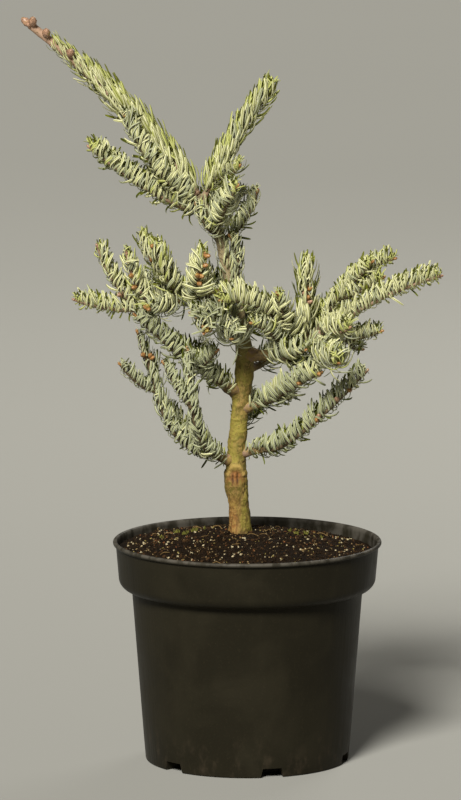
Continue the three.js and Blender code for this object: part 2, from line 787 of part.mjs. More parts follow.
const container = new THREE.Group();
container.add(makePot(), makeSoil());

const wood = new THREE.Group();
wood.add(makeTrunk(trunk));
for (const name of Object.keys(BOUGHS)) {
  const { curve, radiusAt } = limbs[name];
  const limb = bent(curve, BOUGH_FACES.rings, BOUGH_FACES.sides, radiusAt);
  wood.add(piece(`bough_${name}`, solid(limb), TWIG));
}

const foliage = new THREE.Group();
masses.forEach((mass, index) => foliage.add(makeMass(mass, masses, allLimbs, index + 1)));

const fir = new THREE.Group();
fir.add(container, wood, foliage);

export default fir;
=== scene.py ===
"""A young Korean fir in its nursery pot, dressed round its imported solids.

The tables and the geometry are in millimetres in the part's own frame, +Z up, with the origin in the
middle of the pot's flat underside.  Meshes are made in metres.
"""

import json
import math
from collections import namedtuple
from functools import lru_cache

import bpy
import numpy as np
from bpy.props import FloatProperty, FloatVectorProperty, IntProperty, PointerProperty
from bpy.types import NodeSocket, Operator, Panel, PropertyGroup
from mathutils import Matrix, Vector, noise
from mathutils.kdtree import KDTree

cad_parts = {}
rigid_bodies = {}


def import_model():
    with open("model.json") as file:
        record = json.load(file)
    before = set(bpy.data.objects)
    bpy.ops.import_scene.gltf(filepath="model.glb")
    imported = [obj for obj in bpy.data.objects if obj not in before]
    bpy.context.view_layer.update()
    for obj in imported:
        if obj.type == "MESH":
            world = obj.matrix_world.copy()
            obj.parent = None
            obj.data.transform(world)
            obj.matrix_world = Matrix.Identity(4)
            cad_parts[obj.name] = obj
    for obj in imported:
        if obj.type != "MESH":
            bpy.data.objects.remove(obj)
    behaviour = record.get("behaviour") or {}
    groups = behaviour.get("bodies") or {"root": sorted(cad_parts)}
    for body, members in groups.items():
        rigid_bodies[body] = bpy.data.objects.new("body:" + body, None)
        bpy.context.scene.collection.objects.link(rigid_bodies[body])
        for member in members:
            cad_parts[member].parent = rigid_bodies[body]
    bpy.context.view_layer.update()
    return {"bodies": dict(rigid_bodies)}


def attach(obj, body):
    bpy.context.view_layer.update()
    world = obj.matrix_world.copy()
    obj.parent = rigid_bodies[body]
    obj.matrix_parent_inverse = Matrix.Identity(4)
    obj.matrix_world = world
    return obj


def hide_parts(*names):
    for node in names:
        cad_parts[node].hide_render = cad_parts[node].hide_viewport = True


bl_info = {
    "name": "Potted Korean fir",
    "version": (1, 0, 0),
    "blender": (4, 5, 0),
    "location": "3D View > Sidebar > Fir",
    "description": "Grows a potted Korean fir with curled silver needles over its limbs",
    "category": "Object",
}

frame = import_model()
BODY = next(iter(frame["bodies"]))
MM = 0.001

# ---- the plant's plan

GAP = 0.3  # air between the start of a stem and the limb that bears it
COLLAR = 1.35  # how much wider a stem is where it is rooted
COLLAR_RUN = 4

# Stations of the trunk's middle line: x, y, z and radius.
TRUNK = (
    (-6, 15, 184, 10.4),
    (-6.2, 14.7, 197, 9),
    (-7.2, 14, 214, 8.7),
    (-9.6, 13, 234, 10),
    (-9.3, 12.5, 249, 8.2),
    (-6.5, 11, 288, 7.2),
    (-2.5, 10, 326, 7.8),
    (-3, 9.5, 348, 7),
    (-9, 8.5, 382, 5.3),
    (-18, 7, 420, 4.8),
    (-24, 6, 444, 4.4),
    (-42, 4, 477, 3.9),
)

# A bough leaves the trunk at a height and runs to its tip.  Its middle lies off a straight line by its bow.
Bough = namedtuple("Bough", "height tip bow radius")
BOUGHS = {
    "low_left": Bough(251, (-27, 2, 258), (0, 0, -1), (3.3, 2.6)),
    "low_right": Bough(257, (14, 3, 262), (0, 0, 0), (3.2, 2.6)),
    "low_back": Bough(255, (-4, 58, 280), (0, 0, -3), (3, 2.3)),
    "mid_left": Bough(309, (-18, 2, 317), (0, 0, 0), (3.2, 2.6)),
    "mid_right": Bough(295, (13, 1, 301), (0, 0, 0), (3.2, 2.6)),
    "mid_back": Bough(304, (-32, 48, 321), (0, 0, -2), (3.2, 2.4)),
    "right": Bough(342, (59, -8, 361), (3, -2, -6), (4.4, 2.8)),
    "right_back": Bough(328, (26, 52, 337), (0, 0, -2), (3.2, 2.4)),
    "left": Bough(394, (-64, -2, 388), (0, 0, 1), (3.6, 2.7)),
    "left_back": Bough(378, (-26, 46, 386), (0, 0, -2), (3, 2.3)),
}

# A mass springs from a limb, at a share of its length or at a height on the trunk.  Its later shoots fork
# off the first at a share of that one's length.  Spread is how far the needles reach round a shoot.
Mass = namedtuple("Mass", "region on at stem shoots bare", defaults=(1,))
Shoot = namedtuple("Shoot", "tip bow spread fork", defaults=(0,))
MASSES = {
    "leader": Mass("top", "trunk", 1, 3.8, (Shoot((-179, -8, 622), (7.5, 0, 3), 15.5),), 0.86),
    "leader_side": Mass("top", "trunk", 469, 1.8, (Shoot((-101, -22, 547), (-5, -7, -5), 12),)),
    "top_left": Mass("top", "trunk", 460, 2, (Shoot((-130, -10, 520), (0, -5, -5), 11.5),)),
    "top_right": Mass("top", "trunk", 470, 2.2, (
        Shoot((20, 8, 567), (-3, 0, 1), 13),
        Shoot((-7, -24, 506), (3, -4, 0), 10, 0.16),
    )),
    "top_front": Mass("top", "trunk", 447, 1.8, (Shoot((-9, -42, 491), (-2, -8, 0), 11.5),)),
    "top_right_low": Mass("top", "trunk", 436, 1.8, (Shoot((8, 12, 479), (3, 3, -2), 10),)),
    "trunk_right": Mass("top", "trunk", 400, 1.5, (Shoot((-14, -4, 444), (4, 0, -2), 9),)),
    "trunk_left": Mass("top", "trunk", 441, 1.3, (Shoot((-42, -14, 472), (-1, -7, -2), 9),)),
    "top_back": Mass("back", "trunk", 455, 2, (
        Shoot((-24, 72, 476), (0, 0, -5), 12),
        Shoot((-2, 52, 474), (0, 0, 0), 10, 0.4),
    )),
    "top_back_left": Mass("back", "trunk", 466, 2, (Shoot((-82, 56, 489), (0, 9, -6), 12),)),
    "left_front_high": Mass("left", "left", 0.5, 1.8, (Shoot((-36, -46, 434), (-3, -9, -6), 13),)),
    "front_left": Mass("middle", "trunk", 383, 1.9, (
        Shoot((-36, -60, 372), (-3, -3, 3), 14),
        Shoot((-46, -28, 384), (0, 0, -2), 11, 0.35),
    )),
    "front_mid": Mass("middle", "trunk", 362, 1.9, (Shoot((-13, -50, 366), (-3, -2, -1), 14),)),
    "mid_left": Mass("middle", "mid_left", 1, 2.2, (
        Shoot((-92, -30, 382), (0, -3, -3), 11.5),
        Shoot((-26, -30, 352), (0, -3, 0), 9, 0.3),
    )),
    "left_tip": Mass("left", "left", 1, 2.2, (
        Shoot((-143, -6, 392), (0, -3, -6), 9.5),
        Shoot((-124, -10, 436), (-3, 0, -4), 10, 0.3),
        Shoot((-100, -32, 434), (-3, -4, -3), 10, 0.16),
    )),
    "left_up": Mass("left", "left", 0.82, 2, (
        Shoot((-77, -14, 436), (0, -2, -3), 12),
        Shoot((-88, 12, 443), (-3, 2, 0), 10, 0.25),
    )),
    "left_front_low": Mass("left", "left", 0.9, 1.6, (Shoot((-82, -38, 390), (2, -4, -3), 12),)),
    "left_back": Mass("back", "left", 0.7, 2, (
        Shoot((-90, 78, 396), (2, 0, -5), 12),
        Shoot((-62, 74, 398), (0, 0, 0), 11, 0.45),
    )),
    "low_left_outer": Mass("low", "low_left", 1, 2.2, (
        Shoot((-81, -8, 343), (-9, 2, -18), 10.5),
        Shoot((-105, -20, 339), (0, 0, -3), 8, 0.72),
        Shoot((-91, -10, 364), (0, 0, 0), 8, 0.86),
    )),
    "low_left_inner": Mass("low", "low_left", 0.52, 1.9, (
        Shoot((-50, -40, 354), (-5, -8, -16), 10.5),
        Shoot((-69, -34, 342), (0, 0, -2), 9, 0.55),
    )),
    "low_left_back": Mass("low", "low_left", 0.7, 1.7, (Shoot((-68, 50, 293), (0, 6, -8), 10),)),
    "right_front_long": Mass("right", "right", 0.68, 2, (
        Shoot((-22, -42, 397), (5, -7, 12), 13),
        Shoot((25, -44, 401), (2, -2, -2), 10, 0.3),
    )),
    "right_front_low": Mass("right", "right", 0.5, 1.7, (Shoot((4, -44, 378), (3, -5, 3), 9),)),
    "right_low": Mass("right", "right", 0.3, 1.8, (
        Shoot((47, -42, 355), (-3, -4, -2), 12),
        Shoot((57, -26, 340), (0, 0, -2), 10, 0.45),
    )),
    "right_up": Mass("right", "right", 0.78, 2, (Shoot((49, -14, 422), (0, 0, 0), 12.5),)),
    "right_far": Mass("right", "right", 1, 2.3, (
        Shoot((160, -12, 413), (0, -5, 7), 10),
        Shoot((84, -44, 374), (0, -4, -2), 12, 0.1),
    )),
    "right_high": Mass("right_outer", "right", 0.88, 2, (
        Shoot((122, 6, 425), (-4, 4, 10), 10),
        Shoot((103, -12, 424), (0, 0, 0), 9, 0.5),
        Shoot((112, -4, 410), (0, 0, -1), 10, 0.35),
    )),
    "right_mid": Mass("right_outer", "right", 0.93, 1.7, (
        Shoot((111, -2, 365), (0, 5, -4), 9.5),
        Shoot((96, 10, 348), (0, 0, -2), 7, 0.45),
    )),
    "right_facing": Mass("right_outer", "right", 0.91, 1.9, (Shoot((75, -84, 351), (2, -4, -5), 14),)),
    "right_back": Mass("back", "right", 0.6, 2, (
        Shoot((84, 80, 380), (0, 4, -3), 12),
        Shoot((56, 84, 374), (0, 0, 0), 11, 0.45),
    )),
    "mid_right": Mass("middle", "mid_right", 1, 2.2, (
        Shoot((60, -46, 337), (-1, -3, 1), 12.5),
        Shoot((39, -2, 311), (0, 0, -1), 11, 0.2),
    )),
    "low_right": Mass("low", "low_right", 1, 2.2, (Shoot((98, -24, 334), (-9, -3, -15), 11),)),
    "low_right_back": Mass("low", "low_right", 0.7, 1.7, (Shoot((54, 46, 280), (0, 3, -6), 9),)),
    "low_back": Mass("low", "low_back", 1, 2, (
        Shoot((2, 108, 293), (0, 0, -3), 11),
        Shoot((22, 90, 293), (0, 0, 0), 9, 0.2),
    )),
    "mid_back": Mass("middle", "mid_back", 1, 2, (
        Shoot((-62, 90, 339), (0, 2, -3), 12),
        Shoot((-36, 94, 338), (0, 0, 0), 10, 0.3),
    )),
    "right_back_low": Mass("right_outer", "right_back", 1, 2, (
        Shoot((44, 104, 345), (0, 2, -3), 12),
        Shoot((20, 96, 352), (0, 0, 0), 11, 0.25),
    )),
    "left_back_mid": Mass("left", "left_back", 1, 2, (
        Shoot((-36, 90, 398), (0, 0, -3), 12),
        Shoot((-12, 84, 402), (0, 0, 0), 10, 0.2),
    )),
    "back_high": Mass("middle", "trunk", 366, 2, (Shoot((16, 84, 373), (0, 3, -4), 12),)),
}
REGIONS = tuple(dict.fromkeys(mass.region for mass in MASSES.values()))

# Side buds of a mass, as places across and up on the plane of the trunk, with the kind of those not orange.
ORANGE, PINK, YELLOW = range(3)
SIDE_BUDS = {
    "left_front_high": ((-43, 410), (-38, 403), (-35, 408), (-28, 415),
                        (-27, 423)),
    "left_tip": ((-97, 409), (-97, 398), (-108, 391, PINK)),
    "left_up": ((-80, 435), (-78, 422)),
    "left_front_low": ((-91, 386), (-85, 386, YELLOW), (-82, 381)),
    "low_left_outer": ((-88, 342), (-80, 345), (-76, 340)),
    "front_left": ((-43, 373), (-38, 366), (-34, 362, YELLOW), (-30, 362)),
    "right_up": ((46, 394, PINK), (52, 391), (57, 398), (58, 387, PINK)),
    "low_right": ((58, 293, PINK), (57, 288), (72, 307, PINK), (85, 313)),
    "mid_right": ((43, 320), (60, 327)),
    "leader": ((-176, 623, PINK), (-165, 613, PINK), (-145, 596, PINK)),
}

CURVE_POINTS = 161
STATION_POINTS = 14
HEADING_REACH = 0.5  # either side of a place, to read a path's heading there
BALL_STEP = 2
RIM_POINTS = 8
START_STEP = 0.1
START_REACH = 40
HEIGHT_SHARES = 0.002
STEM_TAPER = 0.6
BARE_TAPER = 0.92  # of a shoot whose end is bare
FORK_STEM = 0.8
NEEDLE_RISE = 2.4  # the needles of a level shoot stand this much higher than its stem
SETTLING_RUN = 14
UPRIGHT = (0.02, 0.01, 1)  # nearly straight up, and in line with no shoot
DEPTH_RISE = 0.163  # a place this much of a millimetre higher looks level with one a millimetre nearer


def unit(vectors):
    return vectors / np.linalg.norm(vectors, axis=-1, keepdims=True)


def smoothstep(value, low, high):
    share = np.clip((value - low) / (high - low), 0, 1)
    return share * share * (3 - 2 * share)


def hump(value, middle, width):
    """A smooth hump, one high at its middle."""
    return np.exp(-((value - middle) / width) ** 2)


def level_side(headings):
    """The level direction across a heading."""
    return unit(np.cross(headings, UPRIGHT))


class Path:
    """A line through points, measured along its length."""

    def __init__(self, points):
        self.points = np.asarray(points, float)
        steps = np.linalg.norm(np.diff(self.points, axis=0), axis=1)
        self.marks = np.concatenate(([0], np.cumsum(steps)))
        self.length = self.marks[-1]

    def at(self, share):
        marks = np.asarray(share, float) * self.length
        return np.stack([np.interp(marks, self.marks, axis) for axis in self.points.T], axis=-1)

    def heading(self, share):
        reach = HEADING_REACH / self.length
        share = np.asarray(share, float)
        return unit(self.at(np.minimum(share + reach, 1)) - self.at(np.maximum(share - reach, 0)))


def bowed(start, tip, bow):
    start, tip = np.array(start, float), np.array(tip, float)
    middle = (start + tip) / 2 + 2 * np.array(bow, float)
    share = np.linspace(0, 1, CURVE_POINTS)[:, None]
    return Path((1 - share) ** 2 * start + 2 * share * (1 - share) * middle + share ** 2 * tip)


def settled(path, drop, run):
    """A path let down across its own line where it is level, more and more over its first stretch."""
    share = path.marks / path.length
    heading = path.heading(share)
    level = np.hypot(heading[:, 0], heading[:, 1])
    fall = drop * level * smoothstep(path.marks, 0, run)
    return Path(path.points - np.cross(level_side(heading), heading) * fall[:, None])


def through(stations):
    """A smooth line through stations, eased by the square roots of the distances between them."""
    points = np.array(stations, float)
    points = np.vstack((2 * points[0] - points[1], points, 2 * points[-1] - points[-2]))
    share = np.linspace(0, 1, STATION_POINTS, endpoint=False)[:, None]
    line = []
    for before, low, high, after in zip(points, points[1:], points[2:], points[3:]):
        steps = (low - before, high - low, after - high)
        first, span, last = (np.linalg.norm(step) ** 0.5 for step in steps)
        leave = ((low - before) / first - (high - before) / (first + span)) * span + high - low
        reach = ((after - high) / last - (after - low) / (span + last)) * span + high - low
        line.append(
            low + leave * share
            + (3 * (high - low) - 2 * leave - reach) * share ** 2
            + (2 * (low - high) + leave + reach) * share ** 3
        )
    return Path(np.vstack((*line, points[-2])))


class Limb:
    """A trunk or bough: its middle line, its radius along it and balls that fill it."""

    def __init__(self, path, radius_at):
        self.path = path
        self.radius_at = radius_at
        count = math.ceil(path.length / BALL_STEP)
        shares = np.linspace(0, 1, count + 1)
        self.centres = path.at(shares)
        self.radii = np.minimum(radius_at(shares), path.length * (1 - shares))

    def clearance(self, points):
        away = np.linalg.norm(np.atleast_2d(points)[:, None] - self.centres, axis=2)
        return (away - self.radii).min(axis=1)


def clear_start(heart, towards, radius, limbs):
    """The first place along a line from a limb's heart where a stem's end stands clear of the limbs."""
    side = unit(np.array((-towards[1], towards[0], 0.01)))
    other = unit(np.cross(towards, side))
    turns = np.arange(RIM_POINTS) * 2 * math.pi / RIM_POINTS
    rim = np.outer(np.cos(turns), side) + np.outer(np.sin(turns), other)
    disc = np.vstack((np.zeros(3), radius * rim))
    for out in np.arange(0, START_REACH, START_STEP):
        points = heart + towards * out + disc
        if all((limb.clearance(points) >= GAP).all() for limb in limbs):
            return points[0]
    raise RuntimeError("a stem found no clear place to start")


def trunk_limb():
    path = through([station[:3] for station in TRUNK])
    heights = [station[2] for station in TRUNK]
    radii = [station[3] for station in TRUNK]
    return Limb(path, lambda share: np.interp(path.at(share)[..., 2], heights, radii))


def place_at_height(path, height):
    shares = np.arange(0, 1, HEIGHT_SHARES)
    return path.at(shares[np.argmax(path.at(shares)[:, 2] >= height)])


def bough_limb(trunk, bough):
    heart = place_at_height(trunk.path, bough.height)
    towards = bowed(heart, bough.tip, bough.bow).heading(0)
    start = clear_start(heart, towards, bough.radius[0], [trunk])
    path = bowed(start, bough.tip, bough.bow)
    limb = Limb(path, lambda share: np.interp(share, (0, 1), bough.radius))
    limb.heart = heart
    return limb


class Stem:
    """One shoot of a mass: its line, where it is rooted, its radius and the reach of its needles."""

    def __init__(self, name, start, heart, shoot, radius, bare, root_radius):
        self.name = name
        self.path = settled(bowed(start, shoot.tip, shoot.bow), NEEDLE_RISE, SETTLING_RUN)
        self.heart = heart
        self.radius = radius
        self.root_radius = root_radius
        self.spread = shoot.spread
        self.bare = bare

    def radius_at(self, share):
        end = STEM_TAPER if self.bare == 1 else BARE_TAPER
        return self.radius * np.interp(share, (0, 1), (1, end))


def lay_out_mass(name, mass, limbs):
    limb = limbs[mass.on]
    heart = place_at_height(limb.path, mass.at) if mass.at > 1 else limb.path.at(mass.at)
    main, *forks = mass.shoots
    towards = bowed(heart, main.tip, main.bow).heading(0)
    start = clear_start(heart, towards, mass.stem, limbs.values())
    at_end = mass.at == 1
    root_radius = float(limb.radius_at(1)) if at_end else mass.stem * COLLAR
    first = Stem(name, start, heart, main, mass.stem, mass.bare, root_radius)
    stems = [first]
    for fork in forks:
        place = first.path.at(fork.fork)
        radius = mass.stem * FORK_STEM
        stems.append(Stem(name, place, None, fork, radius, 1, radius * COLLAR))
    return stems


@lru_cache(maxsize=1)
def plan():
    """The limbs by name and the stems in order, worked out once."""
    limbs = {"trunk": trunk_limb()}
    for name, bough in BOUGHS.items():
        limbs[name] = bough_limb(limbs["trunk"], bough)
    stems = [stem for name, mass in MASSES.items() for stem in lay_out_mass(name, mass, limbs)]
    return limbs, stems


# ---- meshes


BLUNT_END = 0.02  # a rounded end's last ring, as a share of the limb's section
DOME_RINGS = 5

def mark(mesh, label, values):
    """Gives each point a number, a whole number or a vector, for a material or a node tree to read."""
    values = np.asarray(values)
    whole = values.dtype.kind == "i"
    key, kind = ("vector", "FLOAT_VECTOR") if values.ndim == 2 else ("value", "INT" if whole else "FLOAT")
    attribute = mesh.attributes.new(label, kind, "POINT")
    attribute.data.foreach_set(key, values.astype(np.int32 if whole else np.float32).ravel())


class Shape:
    """Points and faces gathered in millimetres, then made one piece in metres."""

    def __init__(self):
        self.points = []
        self.faces = []
        self.values = {}
        self.count = 0

    def add(self, points, faces, **values):
        self.points.append(np.asarray(points, float).reshape(-1, 3))
        self.faces += [tuple(corner + self.count for corner in face) for face in faces]
        added = len(self.points[-1])
        for name, value in values.items():
            spread = np.broadcast_to(np.asarray(value, float).ravel(), added)
            self.values.setdefault(name, []).append(spread)
        self.count += added
        return self

    def mesh(self, name):
        mesh = bpy.data.meshes.new(name)
        mesh.from_pydata((np.vstack(self.points) * MM).tolist(), [], self.faces)
        for label, values in self.values.items():
            mark(mesh, label, np.concatenate(values))
        mesh.update()
        return mesh

    def placed(self, name):
        return place_object(name, self.mesh(name))


def place_object(name, data):
    made = bpy.data.objects.new(name, data)
    bpy.context.collection.objects.link(made)
    return made


def smooth(mesh, sharp_from=None):
    mesh.shade_smooth()
    if sharp_from:
        mesh.set_sharp_from_angle(angle=math.radians(sharp_from))


def coat(made, material, sharp_from=None):
    """Gives a piece its one material and smooth shading, but for edges sharper than an angle in degrees."""
    made.data.materials.clear()
    made.data.materials.append(material)
    smooth(made.data, sharp_from)


def keep(made, slot, *nodes):
    """Gives a finished piece to the plant's body and hides the solids that it stands for.  Its material slot
    is not used.
    """
    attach(made, BODY)
    if nodes:
        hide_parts(*nodes)


def body_of_rings(count, sides):
    """Faces of a closed body of rings, whose first and last points are its two poles."""
    faces = [(0, 1 + (side + 1) % sides, 1 + side) for side in range(sides)]
    for number in range(count - 1):
        low, high = 1 + number * sides, 1 + (number + 1) * sides
        for side in range(sides):
            after = (side + 1) % sides
            faces.append((low + side, low + after, high + after, high + side))
    last, top = 1 + (count - 1) * sides, 1 + count * sides
    faces += [(last + side, last + (side + 1) % sides, top) for side in range(sides)]
    return faces


def carried_normals(headings, start):
    """A normal for each heading that turns about the path as little as it can."""
    normals = np.empty_like(headings)
    normal = start
    for index, heading in enumerate(headings):
        normal = unit(normal - heading * (normal @ heading))
        normals[index] = normal
    return normals


def limb_body(path, marks, radii, sides, relief, start):
    """A round body along a path, with rings at its marks that the relief raises, and each point's values."""
    shares = np.clip(marks / path.length, 0, 1)
    centres, headings = path.at(shares), path.heading(shares)
    normals = carried_normals(headings, np.array(start, float))
    others = np.cross(headings, normals)
    turns = np.linspace(0, 2 * math.pi, sides, endpoint=False)
    out = np.cos(turns)[None, :, None] * normals[:, None] + np.sin(turns)[None, :, None] * others[:, None]
    points = centres[:, None] + out * radii[:, None, None]
    rise, values = relief(points, turns)
    points += out * rise[..., None]
    closed = np.vstack((centres[0], points.reshape(-1, 3), centres[-1]))
    padded = {name: np.concatenate(([0], value.ravel(), [0])) for name, value in values.items()}
    return closed, body_of_rings(len(marks), sides), padded


def rounded_end(marks, radii, cap):
    """Draws the last rings in, so that a limb ends in a dome of height cap."""
    inside = np.clip(1 - (marks[-1] - marks) / cap, 0, 1)
    return radii * np.sqrt(np.maximum(1 - inside ** 2, BLUNT_END))


def along(length, step, cap):
    """Marks along a limb, a step apart, and closer in the dome at its end."""
    body = np.linspace(0, length - cap, max(2, math.ceil((length - cap) / step)))
    dome = length - cap + cap * np.sin(np.linspace(0, math.pi / 2, DOME_RINGS + 1)[1:])
    return np.concatenate((body, dome))


def ring(radius, height, segments):
    turns = np.linspace(0, 2 * math.pi, segments, endpoint=False)
    return np.column_stack((radius * np.cos(turns), radius * np.sin(turns), np.full(segments, height)))


def turned(profile, segments):
    """A closed body turned round the Z axis, from a profile that starts and ends on it."""
    rings = [ring(radius, height, segments) for radius, height in profile[1:-1]]
    points = np.vstack(((0, 0, profile[0][1]), *rings, (0, 0, profile[-1][1])))
    return points, body_of_rings(len(rings), segments)


def cut(made, cutter, operation):
    """Joins, cuts or keeps the common part of two closed bodies and removes the second."""
    modifier = made.modifiers.new("cut", "BOOLEAN")
    modifier.operation = operation
    modifier.solver = "MANIFOLD"
    modifier.object = cutter
    graph = bpy.context.evaluated_depsgraph_get()
    result = bpy.data.meshes.new_from_object(made.evaluated_get(graph), depsgraph=graph)
    made.modifiers.remove(modifier)
    old = made.data
    made.data = result
    bpy.data.meshes.remove(old)
    bpy.data.objects.remove(cutter)
    return made


# ---- node trees


class Nodes:
    """Builds a node tree.  An input is given a plain value or the socket that feeds it."""

    def __init__(self, tree):
        self.tree = tree

    def node(self, kind, inputs=(), **settings):
        made = self.tree.nodes.new(kind)
        for key, value in settings.items():
            setattr(made, key, value)
        for key, value in dict(inputs).items():
            self.feed(made.inputs[key], value)
        return made

    def feed(self, socket, value):
        if isinstance(value, NodeSocket):
            self.tree.links.new(value, socket)
        else:
            socket.default_value = value

    def get(self, kind, inputs=(), values=(), **settings):
        """The first shown output of a new node, whose first shown inputs take the values."""
        made = self.node(kind, inputs, **settings)
        live = [socket for socket in made.inputs if socket.enabled]
        for socket, value in zip(live, values):
            self.feed(socket, value)
        return next(socket for socket in made.outputs if socket.enabled)

    def math(self, operation, *values):
        return self.get("ShaderNodeMath", values=values, operation=operation)

    def times(self, first, second):
        return self.math("MULTIPLY", first, second)

    def plus(self, first, second):
        return self.math("ADD", first, second)

    def less(self, first, second):
        return self.math("SUBTRACT", first, second)


class Finish(Nodes):
    """A material built node by node round one shader, its colours and its bumps laid one over another."""

    def __init__(self, name, colour, **plain):
        self.material = bpy.data.materials.new(name)
        self.material.use_nodes = True
        super().__init__(self.material.node_tree)
        self.shader = self.tree.nodes["Principled BSDF"]
        for socket, value in plain.items():
            self.shader.inputs[socket.replace("_", " ")].default_value = value
        self.colour = self.material.diffuse_color = shade(colour)
        self.normal = None
        self.place = self.node("ShaderNodeTexCoord").outputs["Object"]

    def stretched(self, scale):
        return self.node("ShaderNodeMapping", {"Vector": self.place, "Scale": scale}).outputs["Vector"]

    def noise(self, size, detail=4, stretch=(1, 1, 1), twist=0.0, rough=0.55):
        """Noise whose features are about size metres across."""
        return self.node("ShaderNodeTexNoise", {
            "Vector": self.stretched(stretch), "Scale": 1 / size, "Detail": detail, "Distortion": twist,
            "Roughness": rough,
        }).outputs["Fac"]

    def cells(self, size, stretch=(1, 1, 1)):
        """The distance to the heart of a cell about size metres across."""
        inputs = {"Vector": self.stretched(stretch), "Scale": 1 / size}
        return self.node("ShaderNodeTexVoronoi", inputs).outputs["Distance"]

    def value(self, name):
        """A value that the mesh's points carry."""
        return self.node("ShaderNodeAttribute", attribute_name=name).outputs["Fac"]

    def axis(self, name):
        return self.node("ShaderNodeSeparateXYZ", {"Vector": self.place}).outputs[name]

    def span(self, value, low, high, to_low=0.0, to_high=1.0):
        """The value's way from low to high, eased at both ends."""
        inputs = {"Value": value, "From Min": low, "From Max": high, "To Min": to_low, "To Max": to_high}
        return self.node("ShaderNodeMapRange", inputs, interpolation_type="SMOOTHSTEP").outputs["Result"]

    def mix(self, share, first, second):
        """The second colour over the first, by a share."""
        return self.get("ShaderNodeMix", values=(share, first, second), data_type="RGBA")

    def paint(self, share, colour):
        """Lays a colour over those below it, by a share."""
        self.colour = self.mix(share, self.colour, colour)

    def bump(self, height, rise):
        """Lays bumps of a rise in metres over those below them."""
        inputs = {"Height": height, "Strength": 1.0, "Distance": rise}
        if self.normal:
            inputs["Normal"] = self.normal
        self.normal = self.node("ShaderNodeBump", inputs).outputs["Normal"]

    def done(self, roughness=None):
        wanted = {"Base Color": self.colour, "Roughness": roughness, "Normal": self.normal}
        for label, value in wanted.items():
            if value is not None:
                self.feed(self.shader.inputs[label], value)
        return self.material


class Growth(Nodes):
    """A geometry node tree with named inputs, built node by node."""

    def __init__(self, name, **inputs):
        super().__init__(bpy.data.node_groups.new(name, "GeometryNodeTree"))
        face = self.tree.interface
        face.new_socket("Geometry", in_out="INPUT", socket_type="NodeSocketGeometry")
        for label, value in inputs.items():
            kind = "NodeSocketInt" if isinstance(value, int) else "NodeSocketFloat"
            socket = face.new_socket(label.replace("_", " "), in_out="INPUT", socket_type=kind)
            socket.default_value = value
        face.new_socket("Geometry", in_out="OUTPUT", socket_type="NodeSocketGeometry")
        self.start = self.tree.nodes.new("NodeGroupInput")
        self.end = self.tree.nodes.new("NodeGroupOutput")

    def input(self, label):
        return self.start.outputs[label]

    def vector(self, x=0.0, y=0.0, z=0.0):
        return self.get("ShaderNodeCombineXYZ", {"X": x, "Y": y, "Z": z})

    def easing_off(self, share, power):
        """A share that grows fast at first and slowly at last."""
        return self.less(1.0, self.math("POWER", self.less(1.0, share), power))

    def named(self, label, kind="FLOAT"):
        return self.get("GeometryNodeInputNamedAttribute", {"Name": label}, data_type=kind)

    def pick(self, index, items, kind):
        """The item of a list that an index names."""
        made = self.node("GeometryNodeIndexSwitch", data_type=kind)
        while len(made.index_switch_items) < len(items):
            made.index_switch_items.new()
        self.feed(made.inputs["Index"], index)
        for socket, item in zip(made.inputs[1:], items):
            self.feed(socket, item)
        return made.outputs[0]

    def random(self, low, high, seed, kind="FLOAT"):
        return self.get("FunctionNodeRandomValue", {"Seed": seed}, (low, high), data_type=kind)

    def moved(self, geometry, **to):
        """Geometry whose points are set to a position or moved by an offset."""
        return self.get("GeometryNodeSetPosition", {"Geometry": geometry, **to})

    def stored(self, geometry, label, value):
        """Geometry whose faces each carry a whole number."""
        inputs = {"Geometry": geometry, "Name": label, "Value": value}
        return self.get("GeometryNodeStoreNamedAttribute", inputs, data_type="INT", domain="FACE")

    def line(self, start, end, count):
        line = self.get("GeometryNodeCurvePrimitiveLine", {"Start": (start, 0, 0), "End": (end, 0, 0)})
        return self.get("GeometryNodeResampleCurve", {"Curve": line, "Count": count})

    def scattered(self, density, seed):
        """Points dealt out over the mesh that comes in."""
        spots = self.node("GeometryNodeDistributePointsOnFaces", {
            "Mesh": self.input("Geometry"), "Density": density, "Seed": seed,
        })
        return spots.outputs["Points"]

    def on_points(self, instance, turn, size, points=None, **pick):
        """One instance on each point, or on each vertex of the mesh that comes in, turned and sized."""
        points = points or self.get("GeometryNodeMeshToPoints", {"Mesh": self.input("Geometry")})
        return self.get("GeometryNodeInstanceOnPoints", {
            "Points": points, "Instance": instance, "Rotation": turn, "Scale": size,
            **{label.replace("_", " "): value for label, value in pick.items()},
        })

    def finish(self, geometry, materials, chooser=None):
        """Realizes the instances, gives each face its material and ends the tree."""
        shape = self.get("GeometryNodeRealizeInstances", {"Geometry": geometry})
        for index, material in enumerate(materials):
            inputs = {"Geometry": shape, "Material": material}
            if chooser:
                chosen = (self.named(chooser, "INT"), index)
                inputs["Selection"] = self.get(
                    "FunctionNodeCompare", values=chosen, data_type="INT", operation="EQUAL",
                )
            shape = self.get("GeometryNodeSetMaterial", inputs)
        self.tree.links.new(shape, self.end.inputs["Geometry"])
        return self.tree


FULL_TURN = 6.283  # radians
SPENT_VALUES = ("facet", "finish", "tint", "kind", "size", "variant", "first", "bend", "axis")


